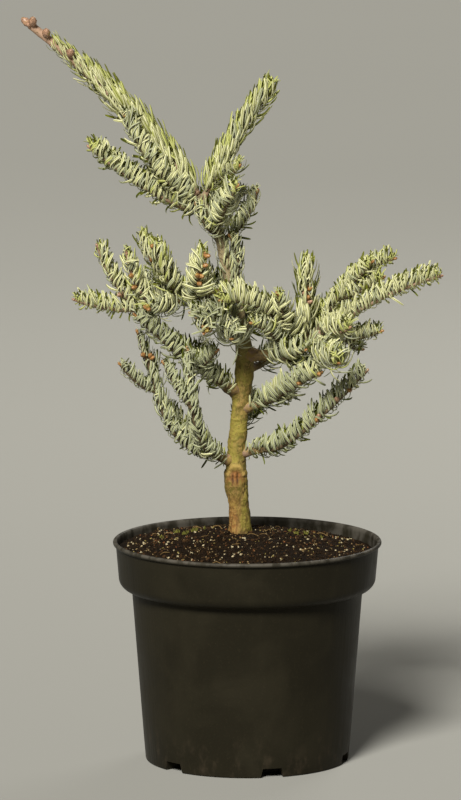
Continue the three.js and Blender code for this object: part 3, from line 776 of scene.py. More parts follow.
def grown(name, mesh, tree, **inputs):
    """Runs a node tree on a mesh and keeps the result as a plain piece at the origin."""
    carrier = place_object(f"{name}_carrier", mesh)
    modifier = carrier.modifiers.new("growth", "NODES")
    modifier.node_group = tree
    for item in tree.interface.items_tree:
        label = item.name.replace(" ", "_")
        if item.in_out == "INPUT" and label in inputs:
            modifier[item.identifier] = inputs[label]
    graph = bpy.context.evaluated_depsgraph_get()
    result = bpy.data.meshes.new_from_object(carrier.evaluated_get(graph), depsgraph=graph)
    bpy.data.objects.remove(carrier)
    bpy.data.meshes.remove(mesh)
    if not result.polygons:
        raise RuntimeError(f"{name} came out empty")
    for label in SPENT_VALUES:
        if label in result.attributes:
            result.attributes.remove(result.attributes[label])
    if result.materials[0] is None:
        finishes = np.zeros(len(result.polygons), int)
        result.polygons.foreach_get("material_index", finishes)
        result.materials.pop(index=0)
        result.polygons.foreach_set("material_index", finishes - 1)
    return place_object(name, result)


def shade(colour, light=1.0, warm=0.0):
    """A colour made lighter or darker and warmer or cooler, with its alpha."""
    red, green, blue = colour[:3]
    return (min(red * light * (1 + warm), 1), min(green * light, 1), min(blue * light * (1 - warm), 1), 1)


# ---- settings


def colour_of(name, description, default):
    return FloatVectorProperty(
        name=name, description=description, default=default, subtype="COLOR", size=3, min=0, max=1,
    )


def size_of(name, description, default):
    return FloatProperty(
        name=name, description=description, default=default, subtype="DISTANCE", unit="LENGTH", min=0,
    )


def angle_of(name, description, default):
    return FloatProperty(
        name=name, description=description, default=default, subtype="ANGLE", unit="ROTATION",
    )


def count_of(name, description, default, least=1):
    return IntProperty(name=name, description=description, default=default, min=least)


def share_of(name, description, default):
    return FloatProperty(
        name=name, description=description, default=default, subtype="FACTOR", min=0, max=1,
    )


class FirPotSettings(PropertyGroup):
    colour: colour_of("Plastic", "Colour of the moulded plastic", (0.0174, 0.0150, 0.0088))
    # The worn colour is also painted as a highlight along the lip and as a sheen on the inner wall.
    worn: colour_of("Worn edge", "Colour of the plastic where the lip is rubbed", (0.095, 0.086, 0.070))
    roughness: share_of("Roughness", "How matt the plastic is", 0.42)
    segments: count_of("Segments", "Flats round the pot", 144, 36)


class FirSoilSettings(PropertyGroup):
    colour: colour_of("Peat", "Colour of the damp peat", (0.0075, 0.0040, 0.0014))
    dry: colour_of("Dry peat", "Colour of the dry crumbs", (0.040, 0.021, 0.007))
    moss: colour_of("Moss", "Colour of the moss", (0.165, 0.160, 0.030))
    lump: size_of("Lumps", "Height of the soil's lumps", 0.0022)
    seed: IntProperty(name="Seed", description="Seed of the crumbs and grit", default=5)


class FirBarkSettings(PropertyGroup):
    olive: colour_of("Olive bark", "Bark of the trunk", (0.205, 0.172, 0.030))
    tan: colour_of("Tan bark", "Paler bark and the foot's left side", (0.350, 0.238, 0.068))
    rust: colour_of("Rust bark", "Foot of the trunk and raw wounds", (0.280, 0.125, 0.036))
    grey: colour_of("Upper bark", "Smooth bark of the upper trunk", (0.360, 0.290, 0.165))
    twig: colour_of("Twig bark", "Bark of the shoots and boughs", (0.120, 0.090, 0.038))
    young: colour_of("Young bark", "Pinkish bark of the youngest shoots", (0.500, 0.320, 0.215))
    relief: size_of("Relief", "Height of the bark's lumps", 0.00060)
    trunk_sides: count_of("Trunk sides", "Faces round the trunk", 88, 12)
    bough_sides: count_of("Bough sides", "Faces round a bough", 28, 8)
    twig_sides: count_of("Twig sides", "Faces round a twig", 9, 5)


class FirNeedleSettings(PropertyGroup):
    # The silver bands are made darker as painted shade and go mostly to the lower crown; the cream bands are
    # a lighter copy, painted light, that goes mostly to the upper crown.
    silver: colour_of("Silver bands", "Waxy bands under a needle", (0.425, 0.437, 0.285))
    cream: colour_of("Cream bands", "Bands of the warmer needles", (0.690, 0.680, 0.390))
    rib: colour_of("Rib", "Green rib between the bands", (0.185, 0.205, 0.035))
    green: colour_of("Upper side", "Upper side of an older needle", (0.110, 0.128, 0.014))
    fresh: colour_of("Fresh needles", "Upper side of a young needle", (0.235, 0.250, 0.040))
    young: colour_of("Fresh bands", "Bands under a young needle", (0.510, 0.530, 0.180))
    length: size_of("Length", "Length of a middling needle along its curl", 0.0174)
    width: size_of("Width", "Width of a middling needle", 0.00186)
    thickness: size_of("Thickness", "Thickness of a needle", 0.0007)
    per_metre: count_of("Per metre", "Needles on a metre of shoot", 2400)
    least_curl: angle_of("Least curl", "Turn of the straightest needles", 1.0)
    most_curl: angle_of("Most curl", "Turn of the most curled needles", 2.8)
    seed: IntProperty(name="Seed", description="Seed of the needles", default=23)


class FirBudSettings(PropertyGroup):
    orange: colour_of("Orange buds", "Resin-coated buds", (0.420, 0.205, 0.060))
    pink: colour_of("Tan buds", "Pinkish tan buds", (0.460, 0.260, 0.155))
    yellow: colour_of("Yellow buds", "Yellow-green buds", (0.470, 0.340, 0.070))
    length: size_of("Length", "Length of a bud", 0.0064)
    width: size_of("Width", "Width of a bud", 0.0046)


class FirStageSettings(PropertyGroup):
    floor: colour_of("Floor", "Colour of the plain floor", (0.37, 0.366, 0.335))
    floor_size: size_of("Floor size", "Side of the floor", 60.0)
    key: FloatProperty(name="Key light", description="Strength of the main light", default=4.7, min=0)
    softness: angle_of("Softness", "Width of the main light", 0.30)
    fill: FloatProperty(name="Fill light", description="Power of the soft lamp", default=1.5, unit="POWER")
    rim: FloatProperty(name="Rim light", description="Power of the lamp behind", default=15, unit="POWER")
    sky: FloatProperty(name="Sky", description="Strength of the even light", default=0.04, min=0)


# ---- pot

POT_HEIGHT = 186
RIM_RADIUS = 112.5
LIP_ROUND = 1.9
LIP_TURNS = (-60, 150)
BAND_TOP_RADIUS = 110.4
BAND_FOOT_RADIUS = 107.7
BAND_FOOT = 154.5
SHOULDER = 145
SHOULDER_RADIUS = 96.7
BASE_RADIUS = 85.4
BASE_ROUND = 1.5
WALL = 1.6
FLOOR = 2.4
FLOOR_ROUND = 3
NOTCHES = 6
NOTCH_TURN = 14
NOTCH_WIDTH = 20
NOTCH_HEAD = 0.8
NOTCH_HEIGHT = 8
NOTCH_DEPTH = 17
NOTCH_ROOF = 1.6
NOTCH_PAST = 4  # a notch's cutter reaches this far out of the wall
SPLASHES = (0.070, 0.052, 0.034, 1)  # the colour of the soil splashed on the pot's foot

SOIL_SEAT = 27
SOIL_TOP = 190
SOIL_EDGE = 177.5
SOIL_SWELL = 1.25
SOIL_LEAN = 0.02


def pot_radius(height):
    return BASE_RADIUS + (SHOULDER_RADIUS - BASE_RADIUS) * height / SHOULDER


def band_radius(height):
    share = (height - BAND_FOOT) / (POT_HEIGHT - BAND_FOOT)
    return BAND_FOOT_RADIUS + (BAND_TOP_RADIUS - BAND_FOOT_RADIUS) * share


def arc(centre, radius, start, stop, steps, stretch=1):
    """Points on an arc in a profile, with angles in degrees."""
    turns = np.radians(np.linspace(start, stop, steps + 1))
    return [(centre[0] + radius * math.cos(t), centre[1] + radius * stretch * math.sin(t)) for t in turns]


def wall_profile(inset):
    """The outside of the pot from its foot up to the band, moved in by a distance."""
    run = BAND_FOOT_RADIUS - SHOULDER_RADIUS
    rise = BAND_FOOT - SHOULDER
    centre = (SHOULDER_RADIUS - inset, BAND_FOOT + inset)
    foot = arc(centre, run, -90, 0, 9, rise / run)
    body = [(pot_radius(z) - inset, z) for z in np.linspace(0, SHOULDER, 9)[1:-1]]
    return [(pot_radius(0) - inset, 0), *body, *foot]


def lip_profile():
    return arc((RIM_RADIUS - LIP_ROUND, POT_HEIGHT - LIP_ROUND), LIP_ROUND, *LIP_TURNS, 14)


def notch_block(index, grow):
    """The block that cuts one notch, or that is its roof and sides when it is grown."""
    top = NOTCH_HEIGHT + grow
    foot = NOTCH_WIDTH / 2 + grow
    head = foot * NOTCH_HEAD
    outer, inner = pot_radius(0) + NOTCH_PAST, pot_radius(0) - NOTCH_DEPTH - grow
    outline = ((-foot, -1), (foot, -1), (head, top), (-head, top))
    turn = math.radians(NOTCH_TURN + index * 360 / NOTCHES)
    points = [
        (x * math.cos(turn) + y * math.sin(turn), x * math.sin(turn) - y * math.cos(turn), z)
        for y in (outer, inner) for x, z in outline
    ]
    return points, ((0, 1, 2, 3), (7, 6, 5, 4), (0, 4, 5, 1), (1, 5, 6, 2), (2, 6, 7, 3), (3, 7, 4, 0))


def notch_blocks(name, grow):
    blocks = Shape()
    for index in range(NOTCHES):
        blocks.add(*notch_block(index, grow))
    return blocks.placed(name)


def pot_plastic(settings):
    plain, worn = settings.colour, shade(settings.worn)
    finish = Finish("pot plastic", plain, Specular_IOR_Level=0.07)
    speckle = finish.noise(0.0016, 3)
    cloud = finish.noise(0.05, 4, twist=0.5)
    flow = finish.noise(0.012, 3, stretch=(1, 1, 0.08))
    dust_and_sheen = finish.noise(0.009, 6, stretch=(1, 1, 0.5))
    low = finish.span(finish.axis("Z"), 0.0, 0.045, 1, 0)
    # How much of the inner wall is painted lighter: partly dust, partly a painted sheen, patchy like dust.
    inside = finish.times(finish.value("inside"), finish.span(dust_and_sheen, 0.38, 0.66, 0.05, 0.7))
    finish.colour = finish.mix(finish.span(cloud, 0.35, 0.7), shade(plain, 0.86), shade(plain, 1.22))
    finish.paint(finish.span(speckle, 0.55, 0.75, 0, 0.35), shade(plain, 1.9, 0.06))
    # The rubbed lip is lighter: partly wear, partly a painted highlight along it.
    finish.paint(finish.times(finish.value("lip"), finish.span(dust_and_sheen, 0.40, 0.62, 0.25, 1)), worn)
    finish.paint(finish.times(low, finish.span(dust_and_sheen, 0.5, 0.72, 0, 0.4)), SPLASHES)
    # Painted sheen with dust on the inner wall, in the worn colour.
    finish.paint(inside, worn)
    finish.bump(speckle, 0.00006)
    finish.bump(flow, 0.0005)
    rough = finish.span(cloud, 0.3, 0.7, settings.roughness - 0.05, settings.roughness + 0.08)
    return finish.done(finish.plus(rough, finish.times(inside, 0.3)))


def mark_pot(mesh):
    """Marks the rubbed top of the lip and the inside of the wall, for the plastic's wear and for its painted
    highlight and sheen.
    """
    points = np.empty(len(mesh.vertices) * 3)
    mesh.vertices.foreach_get("co", points)
    x, y, z = points.reshape(-1, 3).T / MM
    out = np.hypot(x, y)
    lip = smoothstep(z, POT_HEIGHT - 2 * LIP_ROUND, POT_HEIGHT - 0.4)
    wall = np.where(z > BAND_FOOT, band_radius(z), pot_radius(z))
    inside = (out < wall - WALL * 0.7) & (z > FLOOR)
    mark(mesh, "lip", lip)
    mark(mesh, "inside", inside)


def make_pot(settings):
    under = POT_HEIGHT - LIP_ROUND * 2
    base = arc((pot_radius(0) - BASE_ROUND, BASE_ROUND), BASE_ROUND, -90, 0, 4)
    floor_edge = pot_radius(FLOOR) - WALL - FLOOR_ROUND
    floor = arc((floor_edge, FLOOR + FLOOR_ROUND), FLOOR_ROUND, 0, -90, 4)
    profile = [
        (0, 0), *base, *wall_profile(0)[1:],
        *[(band_radius(z), z) for z in np.linspace(BAND_FOOT, under, 5)[1:]],
        *lip_profile(),
        *[(band_radius(z) - WALL, z) for z in np.linspace(under, BAND_FOOT + WALL, 6)[:-1]],
        *wall_profile(WALL)[:0:-1], *floor, (0, FLOOR),
    ]
    shell = Shape().add(*turned(profile, settings.segments)).placed("pot_dressed")
    top, skin = NOTCH_HEIGHT * 2, WALL / 2
    within = [(0, skin), (pot_radius(0) - skin, skin), (pot_radius(top) - skin, top), (0, top)]
    foot = Shape().add(*turned(within, settings.segments)).placed("foot")
    roofs = cut(notch_blocks("roofs", NOTCH_ROOF), foot, "INTERSECT")
    cut(shell, roofs, "UNION")
    cut(shell, notch_blocks("notches", 0), "DIFFERENCE")
    mark_pot(shell.data)
    coat(shell, pot_plastic(settings), sharp_from=32)
    keep(shell, "pot_plastic", "pot")


# ---- soil

SOIL_RINGS = 84
SOIL_SEGMENTS = 216
SOIL_FOOT = 4  # the bevel at the foot of the bed
SOIL_LUMPS = ((16, 0.8), (6.5, 0.7), (2.6, 0.45))  # sizes and heights of the lumps, one kind on another


def half_lump(settings):
    return settings.lump / MM / 2


def soil_reach():
    """How far the soil's surface reaches out from the middle."""
    return band_radius(SOIL_EDGE - SOIL_LEAN * BAND_FOOT_RADIUS) - (WALL + GAP)


def soil_height(x, y, lump):
    """The soil's level at a place, with its lumps."""
    out = math.hypot(x, y)
    share = min(max((out - SOIL_SEAT) / (soil_reach() - SOIL_SEAT), 0), 1)
    swell = (SOIL_EDGE - SOIL_TOP) * share ** SOIL_SWELL
    level = SOIL_TOP + swell - x * SOIL_LEAN * min(out / SOIL_SEAT, 1)
    here = Vector((x, y, 0))
    return level + lump * sum(noise.noise(here / size) * height for size, height in SOIL_LUMPS)


@lru_cache(maxsize=1)
def soil_top(lump):
    """Rings of points on the soil's surface, from its edge in to its middle."""
    turns = np.linspace(0, 2 * math.pi, SOIL_SEGMENTS, endpoint=False)
    points = []
    for number in range(SOIL_RINGS):
        out = soil_reach() * (1 - number / SOIL_RINGS)
        for turn in turns:
            x, y = out * math.cos(turn), out * math.sin(turn)
            points.append((x, y, soil_height(x, y, lump)))
    return points


def soil_finish(settings):
    finish = Finish("potting soil", settings.colour, Specular_IOR_Level=0.1)
    patch = finish.noise(0.022, 5, twist=0.6)
    crumb = finish.noise(0.0022, 5, rough=0.7)
    grains = finish.cells(0.0016)
    crumbs = finish.mix(finish.span(crumb, 0.38, 0.68), shade(settings.colour, 0.6), shade(settings.dry))
    finish.paint(finish.span(patch, 0.4, 0.7), crumbs)
    finish.paint(finish.span(grains, 0.05, 0.22, 0.5, 0), shade(settings.dry, 1.5, 0.1))
    finish.bump(crumb, 0.0012)
    finish.bump(grains, 0.0004)
    return finish.done(finish.span(crumb, 0.3, 0.7, 0.78, 0.98))


def make_soil(settings):
    clear, floor = WALL + GAP, FLOOR + GAP
    side = [(pot_radius(floor + SOIL_FOOT) - clear - SOIL_FOOT, floor), *wall_profile(clear)[1:]]
    rings = [ring(radius, height, SOIL_SEGMENTS) for radius, height in side]
    middle = (0, 0, soil_height(0, 0, half_lump(settings)))
    points = np.vstack(((0, 0, floor), *rings, soil_top(half_lump(settings)), middle))
    faces = body_of_rings(len(rings) + SOIL_RINGS, SOIL_SEGMENTS)
    made = Shape().add(points, faces).placed("soil_bed")
    cut(made, notch_blocks("soil_notches", NOTCH_ROOF + GAP), "DIFFERENCE")
    coat(made, soil_finish(settings), sharp_from=60)
    keep(made, "potting_soil", "soil")


# ---- what lies on the soil

LITTER_RINGS = (3, SOIL_RINGS - 4)  # the rings of the soil that hold litter
TRUNK_CLEAR = 9.5
MOSS_LIFT = 0.8
MOSS_CROWDING = 1.6  # leaves for each square of a tuft's radius
MOSS_TILT = 0.6
MOSS_SIZES = (0.5, 1.3)
FIBRE_WAVE = (4.2, 0.17)  # how far a fibre's bend turns and, as a share of its length, how high it is
FIBRE_ARCH = (3.14, 0.12)
FIBRE_ROLL = 0.2
FIBRE_RAISE = 0.0006

# Grains by kind: number for each square metre, least and most size, flatness, colour and seed.
Grain = namedtuple("Grain", "density least most flat colour seed")
GRAINS = {
    "peat_crumbs": Grain(62000, 0.0011, 0.0034, 0.7, (0.015, 0.0075, 0.0025), 1),
    "bark_crumbs": Grain(9000, 0.0014, 0.0040, 0.4, (0.055, 0.027, 0.009), 2),
    "grit_cream": Grain(7500, 0.0006, 0.0027, 0.6, (0.500, 0.420, 0.250), 3),
    "grit_tan": Grain(12500, 0.0005, 0.0022, 0.6, (0.250, 0.175, 0.080), 4),
    "grit_rust": Grain(3400, 0.0008, 0.0025, 0.5, (0.190, 0.072, 0.026), 6),
    "grit_yellow": Grain(4500, 0.0005, 0.0020, 0.8, (0.265, 0.210, 0.060), 7),
}

# Fibres by kind: number for each square metre, least and most length, thickness as a share of the length,
# how steeply they lie at most, colour and seed.
Fibre = namedtuple("Fibre", "density least most thick lift colour seed")
FIBRES = {
    "root_fibres": Fibre(3600, 0.003, 0.007, 0.022, 0.35, (0.115, 0.060, 0.024), 20),
    "dropped_needles": Fibre(900, 0.005, 0.010, 0.050, 0.3, (0.200, 0.125, 0.045), 21),
}
Tuft = namedtuple("Tuft", "x y radius")
TUFTS = (
    Tuft(-52, 12, 4), Tuft(-44, 22, 3), Tuft(-59, 26, 3), Tuft(-36, 32, 2), Tuft(-72, 8, 2),
    Tuft(42, 12, 3), Tuft(50, 22, 3), Tuft(36, 28, 2), Tuft(62, 14, 2),
)


def soil_carrier(settings):
    """The soil's open surface, as the mesh on which the small things are dealt out."""
    points = soil_top(half_lump(settings))
    faces = []
    for number in range(*LITTER_RINGS):
        low, high = number * SOIL_SEGMENTS, (number + 1) * SOIL_SEGMENTS
        for side in range(SOIL_SEGMENTS):
            after = (side + 1) % SOIL_SEGMENTS
            x, y, _ = points[low + side]
            if math.hypot(x - TRUNK[0][0], y - TRUNK[0][1]) > TRUNK_CLEAR:
                faces.append((low + side, low + after, high + after, high + side))
    return Shape().add(points, faces).mesh("soil_surface")


def grains_tree(name, material):
    growth = Growth(name, Density=1000.0, Least=0.001, Most=0.002, Flatness=0.8, Seed=0)
    seed = growth.input("Seed")
    grain = growth.get("GeometryNodeMeshIcoSphere", {"Radius": 0.5, "Subdivisions": 2})
    lumps = growth.node("ShaderNodeTexNoise", {"Scale": 1.7, "Detail": 1.0}).outputs["Color"]
    shift = growth.get("ShaderNodeVectorMath", values=(lumps, (0.5, 0.5, 0.5)), operation="SUBTRACT")
    grain = growth.moved(grain, Offset=shift)
    spots = growth.scattered(growth.input("Density"), seed)
    size = growth.random(growth.input("Least"), growth.input("Most"), seed)
    flat = growth.times(size, growth.random(growth.input("Flatness"), 1.0, growth.plus(seed, 9)))
    turn = growth.random((0, 0, 0), (FULL_TURN, FULL_TURN, FULL_TURN), seed, "FLOAT_VECTOR")
    grains = growth.on_points(grain, turn, growth.vector(size, flat, flat), spots)
    return growth.finish(grains, [material])


def fibres_tree(name, material):
    """Bent root fibres and dropped needles, laid on a surface."""
    growth = Growth(name, Density=1000.0, Least=0.004, Most=0.012, Thickness=0.05, Lift=0.4, Seed=0)
    lift, seed = growth.input("Lift"), growth.input("Seed")
    share = growth.get("GeometryNodeSplineParameter")
    wave, arch = (
        growth.times(growth.math("SINE", growth.times(share, bend)), height)
        for bend, height in (FIBRE_WAVE, FIBRE_ARCH)
    )
    bent = growth.moved(growth.line(-0.5, 0.5, 6), Offset=growth.vector(0.0, wave, arch))
    section = growth.get("GeometryNodeCurvePrimitiveCircle", {
        "Resolution": 3, "Radius": growth.input("Thickness"),
    })
    fibre = growth.get("GeometryNodeCurveToMesh", {
        "Curve": bent, "Profile Curve": section, "Fill Caps": True,
    })
    low = growth.vector(-FIBRE_ROLL, growth.times(lift, -1.0), 0.0)
    turn = growth.random(low, growth.vector(FIBRE_ROLL, lift, FULL_TURN), seed, "FLOAT_VECTOR")
    size = growth.random(growth.input("Least"), growth.input("Most"), seed)
    spots = growth.scattered(growth.input("Density"), seed)
    raised = growth.moved(spots, Offset=(0, 0, FIBRE_RAISE))
    return growth.finish(growth.on_points(fibre, turn, size, raised), [material])


def moss_tree(name, material):
    """Short pointed leaves that stand close together round the points of a mesh."""
    growth = Growth(name, Height=0.0028, Width=0.0006, Seed=0)
    seed = growth.input("Seed")
    leaf = growth.get("GeometryNodeMeshCone", {
        "Vertices": 4, "Side Segments": 2, "Radius Bottom": growth.input("Width"),
        "Radius Top": 0.0001, "Depth": growth.input("Height"),
    })
    low, high = (-MOSS_TILT, -MOSS_TILT, 0), (MOSS_TILT, MOSS_TILT, FULL_TURN)
    turn = growth.random(low, high, seed, "FLOAT_VECTOR")
    size = growth.random(*MOSS_SIZES, seed)
    return growth.finish(growth.on_points(leaf, turn, size), [material])


def grit_finish(name, colour):
    finish = Finish(name.replace("_", " "), colour, Roughness=0.85, Specular_IOR_Level=0.15)
    spots = finish.noise(0.0012, 3)
    finish.colour = finish.mix(finish.span(spots, 0.35, 0.7), shade(colour, 0.6), shade(colour, 1.25))
    finish.bump(spots, 0.0002)
    return finish.done(finish.span(spots, 0.3, 0.7, 0.7, 0.95))


def moss_points(settings):
    """Points crowded in tufts on the soil."""
    rng = np.random.default_rng(settings.seed)
    points = []
    for tuft in TUFTS:
        count = int(tuft.radius ** 2 * MOSS_CROWDING)
        reach = tuft.radius * np.sqrt(rng.random(count)) * rng.uniform(0.5, 1, count)
        turn = rng.uniform(0, 2 * math.pi, count)
        for out, way in zip(reach, turn):
            x, y = tuft.x + out * math.cos(way), tuft.y + out * math.sin(way)
            points.append((x, y, soil_height(x, y, half_lump(settings)) + MOSS_LIFT))
    return Shape().add(points, ()).mesh("moss_points")


def make_litter(settings):
    for name, grain in GRAINS.items():
        tree = grains_tree(name, grit_finish(name, grain.colour))
        made = grown(
            name, soil_carrier(settings), tree, Density=float(grain.density), Least=grain.least,
            Most=grain.most, Flatness=grain.flat, Seed=settings.seed + grain.seed,
        )
        smooth(made.data, sharp_from=50)
        keep(made, "potting_soil")
    for name, fibre in FIBRES.items():
        tree = fibres_tree(name, grit_finish(name, fibre.colour))
        made = grown(
            name, soil_carrier(settings), tree, Density=float(fibre.density), Least=fibre.least,
            Most=fibre.most, Thickness=fibre.thick, Lift=fibre.lift, Seed=settings.seed + fibre.seed,
        )
        keep(made, "potting_soil")
    moss = grit_finish("moss", settings.moss)
    made = grown("moss", moss_points(settings), moss_tree("moss", moss), Seed=settings.seed)
    keep(made, "potting_soil")


# ---- bark

# Features of bark: their size in millimetres, their height as a share of the relief and their stretch.
Feature = namedtuple("Feature", "size height stretch", defaults=(1, (1, 1, 1)))
LUMPS = Feature(9, 1.1)
SMALL_LUMPS = Feature(3.4, 0.5)
CRACKS = Feature(3.1, 1.7, (1, 1, 0.32))
CRACKED_PATCHES = Feature(14)
SCALES = Feature(2.1, 0.35, (0.8, 0.8, 1.9))
BLISTERS = Feature(4.6, 0.8, (0.7, 0.7, 1.8))
TWIG_LUMPS = Feature(5, 0.9)
TWIG_GRAIN = Feature(2.1, 0.6)
SWELLINGS = Feature(3.2, 0.7)
CRACK_SHARPNESS = 3.2
SEED_STRIDE = 31.7

TRUNK_STEP = 0.75  # from ring to ring
BOUGH_STEP = 0.9
TWIG_STEP = 2.2
TRUNK_CAP = 3.0  # the height of the dome at the end
BOUGH_CAP = 1.6
TWIG_CAP = 1.2
BOUGH_RELIEF = 0.8  # as a share of the trunk's
TWIG_RELIEF = 0.6
BOUGH_SEED = 1
TWIG_SEED = 20
BOUGH_COLLAR = 0.42  # how much wider a bough is at its foot, as a share
COLLAR_REACH = 3.6  # how far a collar reaches round the start of a bough
TRUNK_LIKE = (0.5, 9)  # how near to the trunk a bough looks like it
TWIG_JOINT = 0.12  # how much a twig swells half way, where a year's growth ended
JOINT_RUN = 3
OLD_BARK = (262, 205)  # the heights between which the bark grows cracked
YOUNG_BARK = (330, 380)  # and, upwards, smooth
ROOT_FLARE = (200, 187)

# The swelling where the tree was grafted, and the ridge and groove over it: how far above, width and height.
UNION_HEIGHT = 234
GRAFT_RINGS = ((7, 1.5, 0.55), (10.5, 1.2, 0.35))
GRAFT_WAVE = 1.5

# The wound on the trunk's front, with two slits across from its middle, each with its width, and a healed
# lip round it at a share of its size.
Wound = namedtuple("Wound", "x z wide high tail deep")
WOUND = Wound(-9.7, 240, 5.2, 5.6, 12, 1.4)
SLITS = ((1.6, 0.9), (-2.6, 0.7))
HEALED_LIP = (1.25, 0.3)

OTHER_TWIGS = 0.1  # how pale a twig is that isn't in the next table
PALE_TWIGS = {"leader": 1.0, "top_right": 0.6, "top_left": 0.5, "left_tip": 0.5, "right_far": 0.6}


def field(points, feature):
    """Noise at each point, with features of a size and stretch."""
    scale = np.array(feature.stretch, float) / feature.size
    flat = (points.reshape(-1, 3) * scale).tolist()
    values = [noise.noise(place) for place in flat]
    return np.array(values).reshape(points.shape[:-1])


def collar_places():
    """Where boughs and stems leave the side of the trunk."""
    limbs, stems = plan()
    starts = [limbs[name].path.points[0] for name in BOUGHS]
    for stem in stems:
        mass = MASSES[stem.name]
        if stem.heart is not None and mass.on == "trunk" and mass.at > 1:
            starts.append(stem.path.points[0])
    return starts


def wound_marks(points):
    """How much of each point lies in the wound, in the slits beside it and on its healed lip."""
    x, y, z = np.moveaxis(points, -1, 0)
    front = np.clip(-(y - 12) / 6, 0, 1)
    across, up = x - WOUND.x, z - WOUND.z
    side, drop = across / WOUND.wide, up / WOUND.high
    depth = side ** 2 + np.maximum(drop, 0) ** 2 * 2.2 + np.minimum(drop, 0) ** 2 * 0.9
    hollow = np.exp(-depth) * front
    slits = sum(hump(across, *slit) for slit in SLITS) * front
    slits = slits * smoothstep(z, WOUND.z - WOUND.tail, WOUND.z - 3) * smoothstep(z, WOUND.z + 3, WOUND.z)
    lip = hump(np.hypot(side, drop * 0.9), *HEALED_LIP) * front * (drop > -0.2)
    return np.clip(hollow * 1.2, 0, 1), slits, lip


def graft_rings(height, turns):
    """The wavy ridge and groove above the graft."""
    wave = GRAFT_WAVE * np.sin(turns)
    ridge, groove = (
        hump(height, UNION_HEIGHT + above + wave, width) * rise for above, width, rise in GRAFT_RINGS
    )
    return ridge - groove


def trunk_relief(relief):
    """Lumps, cracks, blisters, the graft, the wound, the collars and the flare at the root."""
    starts = collar_places()

    def rise(points, turns):
        height = points[..., 2]
        old, young = smoothstep(height, *OLD_BARK), smoothstep(height, *YOUNG_BARK)
        lumps = field(points, LUMPS) * relief * LUMPS.height * (1 - 0.5 * young)
        lumps = lumps + field(points, SMALL_LUMPS) * relief * SMALL_LUMPS.height
        ridges = np.clip(1 - np.abs(field(points, CRACKS)) * CRACK_SHARPNESS, 0, 1)
        cracks = ridges ** 2 * old * (0.4 + 0.6 * smoothstep(field(points, CRACKED_PATCHES), -0.2, 0.5))
        blisters = smoothstep(field(points, BLISTERS), 0.30, 0.55) * (1 - 0.6 * old)
        wound, slits, lip = wound_marks(points)
        collars = np.zeros_like(height)
        for start in starts:
            collars += hump(np.linalg.norm(points - start, axis=-1), 0, COLLAR_REACH)
        flare = smoothstep(height, *ROOT_FLARE) * (0.9 + 0.7 * np.sin(3 * turns + 0.6))
        raised = (
            lumps - cracks * relief * CRACKS.height + field(points, SCALES) * relief * SCALES.height * old
            + blisters * relief * BLISTERS.height + graft_rings(height, turns)
            - wound * WOUND.deep - slits * 0.9 + lip * 0.75 + collars + flare
        )
        # Cracks, slits and the wound's sloping wall are darkened: partly darker inner bark, partly painted
        # shade in these hollows.
        dark = np.clip(cracks * 1.1 + slits * 0.9 + hump(wound, 0.5, 0.2) * 0.35, 0, 1)
        graft = hump(height, UNION_HEIGHT + 2, 6) * ridges
        raw = np.clip(wound * 1.1 + slits * 0.5 + graft * 0.5, 0, 1)
        return raised, {"crack": dark, "raw": raw, "lip": np.clip(lip, 0, 1)}

    return rise


def trunk_finish(settings):
    olive, tan, rust, upper = settings.olive, settings.tan, settings.rust, settings.grey
    finish = Finish("trunk bark", olive, Specular_IOR_Level=0.3)
    height, across = finish.axis("Z"), finish.axis("X")
    mottle = finish.noise(0.0036, 5, twist=0.8)
    specks = finish.noise(0.0012, 2, stretch=(1, 1, 0.8))
    patch = finish.noise(0.014, 4, stretch=(1, 1, 0.55), twist=0.4)
    grain = finish.noise(0.0011, 4, stretch=(1, 1, 0.45))
    flecks = finish.cells(0.0042, (0.9, 0.9, 1.7))
    left = finish.span(finish.plus(across, finish.times(patch, 0.012)), -0.006, 0.004, 1, 0)
    foot = finish.times(left, finish.span(height, 0.206, 0.232, 0.85, 0))
    finish.colour = finish.mix(finish.span(mottle, 0.40, 0.62), shade(olive, 0.66), shade(tan, 0.92))
    finish.paint(finish.span(patch, 0.42, 0.60, 0, 0.85), shade(olive, 1.45))
    foot_bark = finish.mix(finish.span(mottle, 0.35, 0.8), shade(rust, 1.15), shade(tan, 0.95, 0.1))
    smooth_bark = finish.mix(finish.span(mottle, 0.35, 0.7), shade(upper, 0.7), shade(upper, 1.15))
    finish.paint(foot, foot_bark)
    finish.paint(finish.span(height, 0.318, 0.392), smooth_bark)
    finish.paint(finish.span(flecks, 0.05, 0.20, 0.55, 0), shade(tan, 0.42))
    finish.paint(finish.span(specks, 0.58, 0.68, 0, 0.75), shade(rust, 0.5))
    finish.paint(finish.span(grain, 0.5, 0.75, 0, 0.5), shade(tan, 1.35))
    finish.paint(finish.value("raw"), shade(rust, 1.1, 0.03))
    finish.paint(finish.times(finish.value("lip"), 0.75), shade(tan, 1.5))
    # Painted shade, with darker inner bark, in the cracks, the slits and the wound's wall.
    finish.paint(finish.value("crack"), shade(rust, 0.22))
    finish.paint(finish.span(height, 0.187, 0.194, 0.75, 0), shade(rust, 0.2))
    finish.bump(mottle, 0.0006)
    finish.bump(grain, 0.00028)
    finish.bump(finish.span(flecks, 0.0, 0.22), 0.0003)
    return finish.done(finish.span(mottle, 0.3, 0.7, 0.62, 0.86))


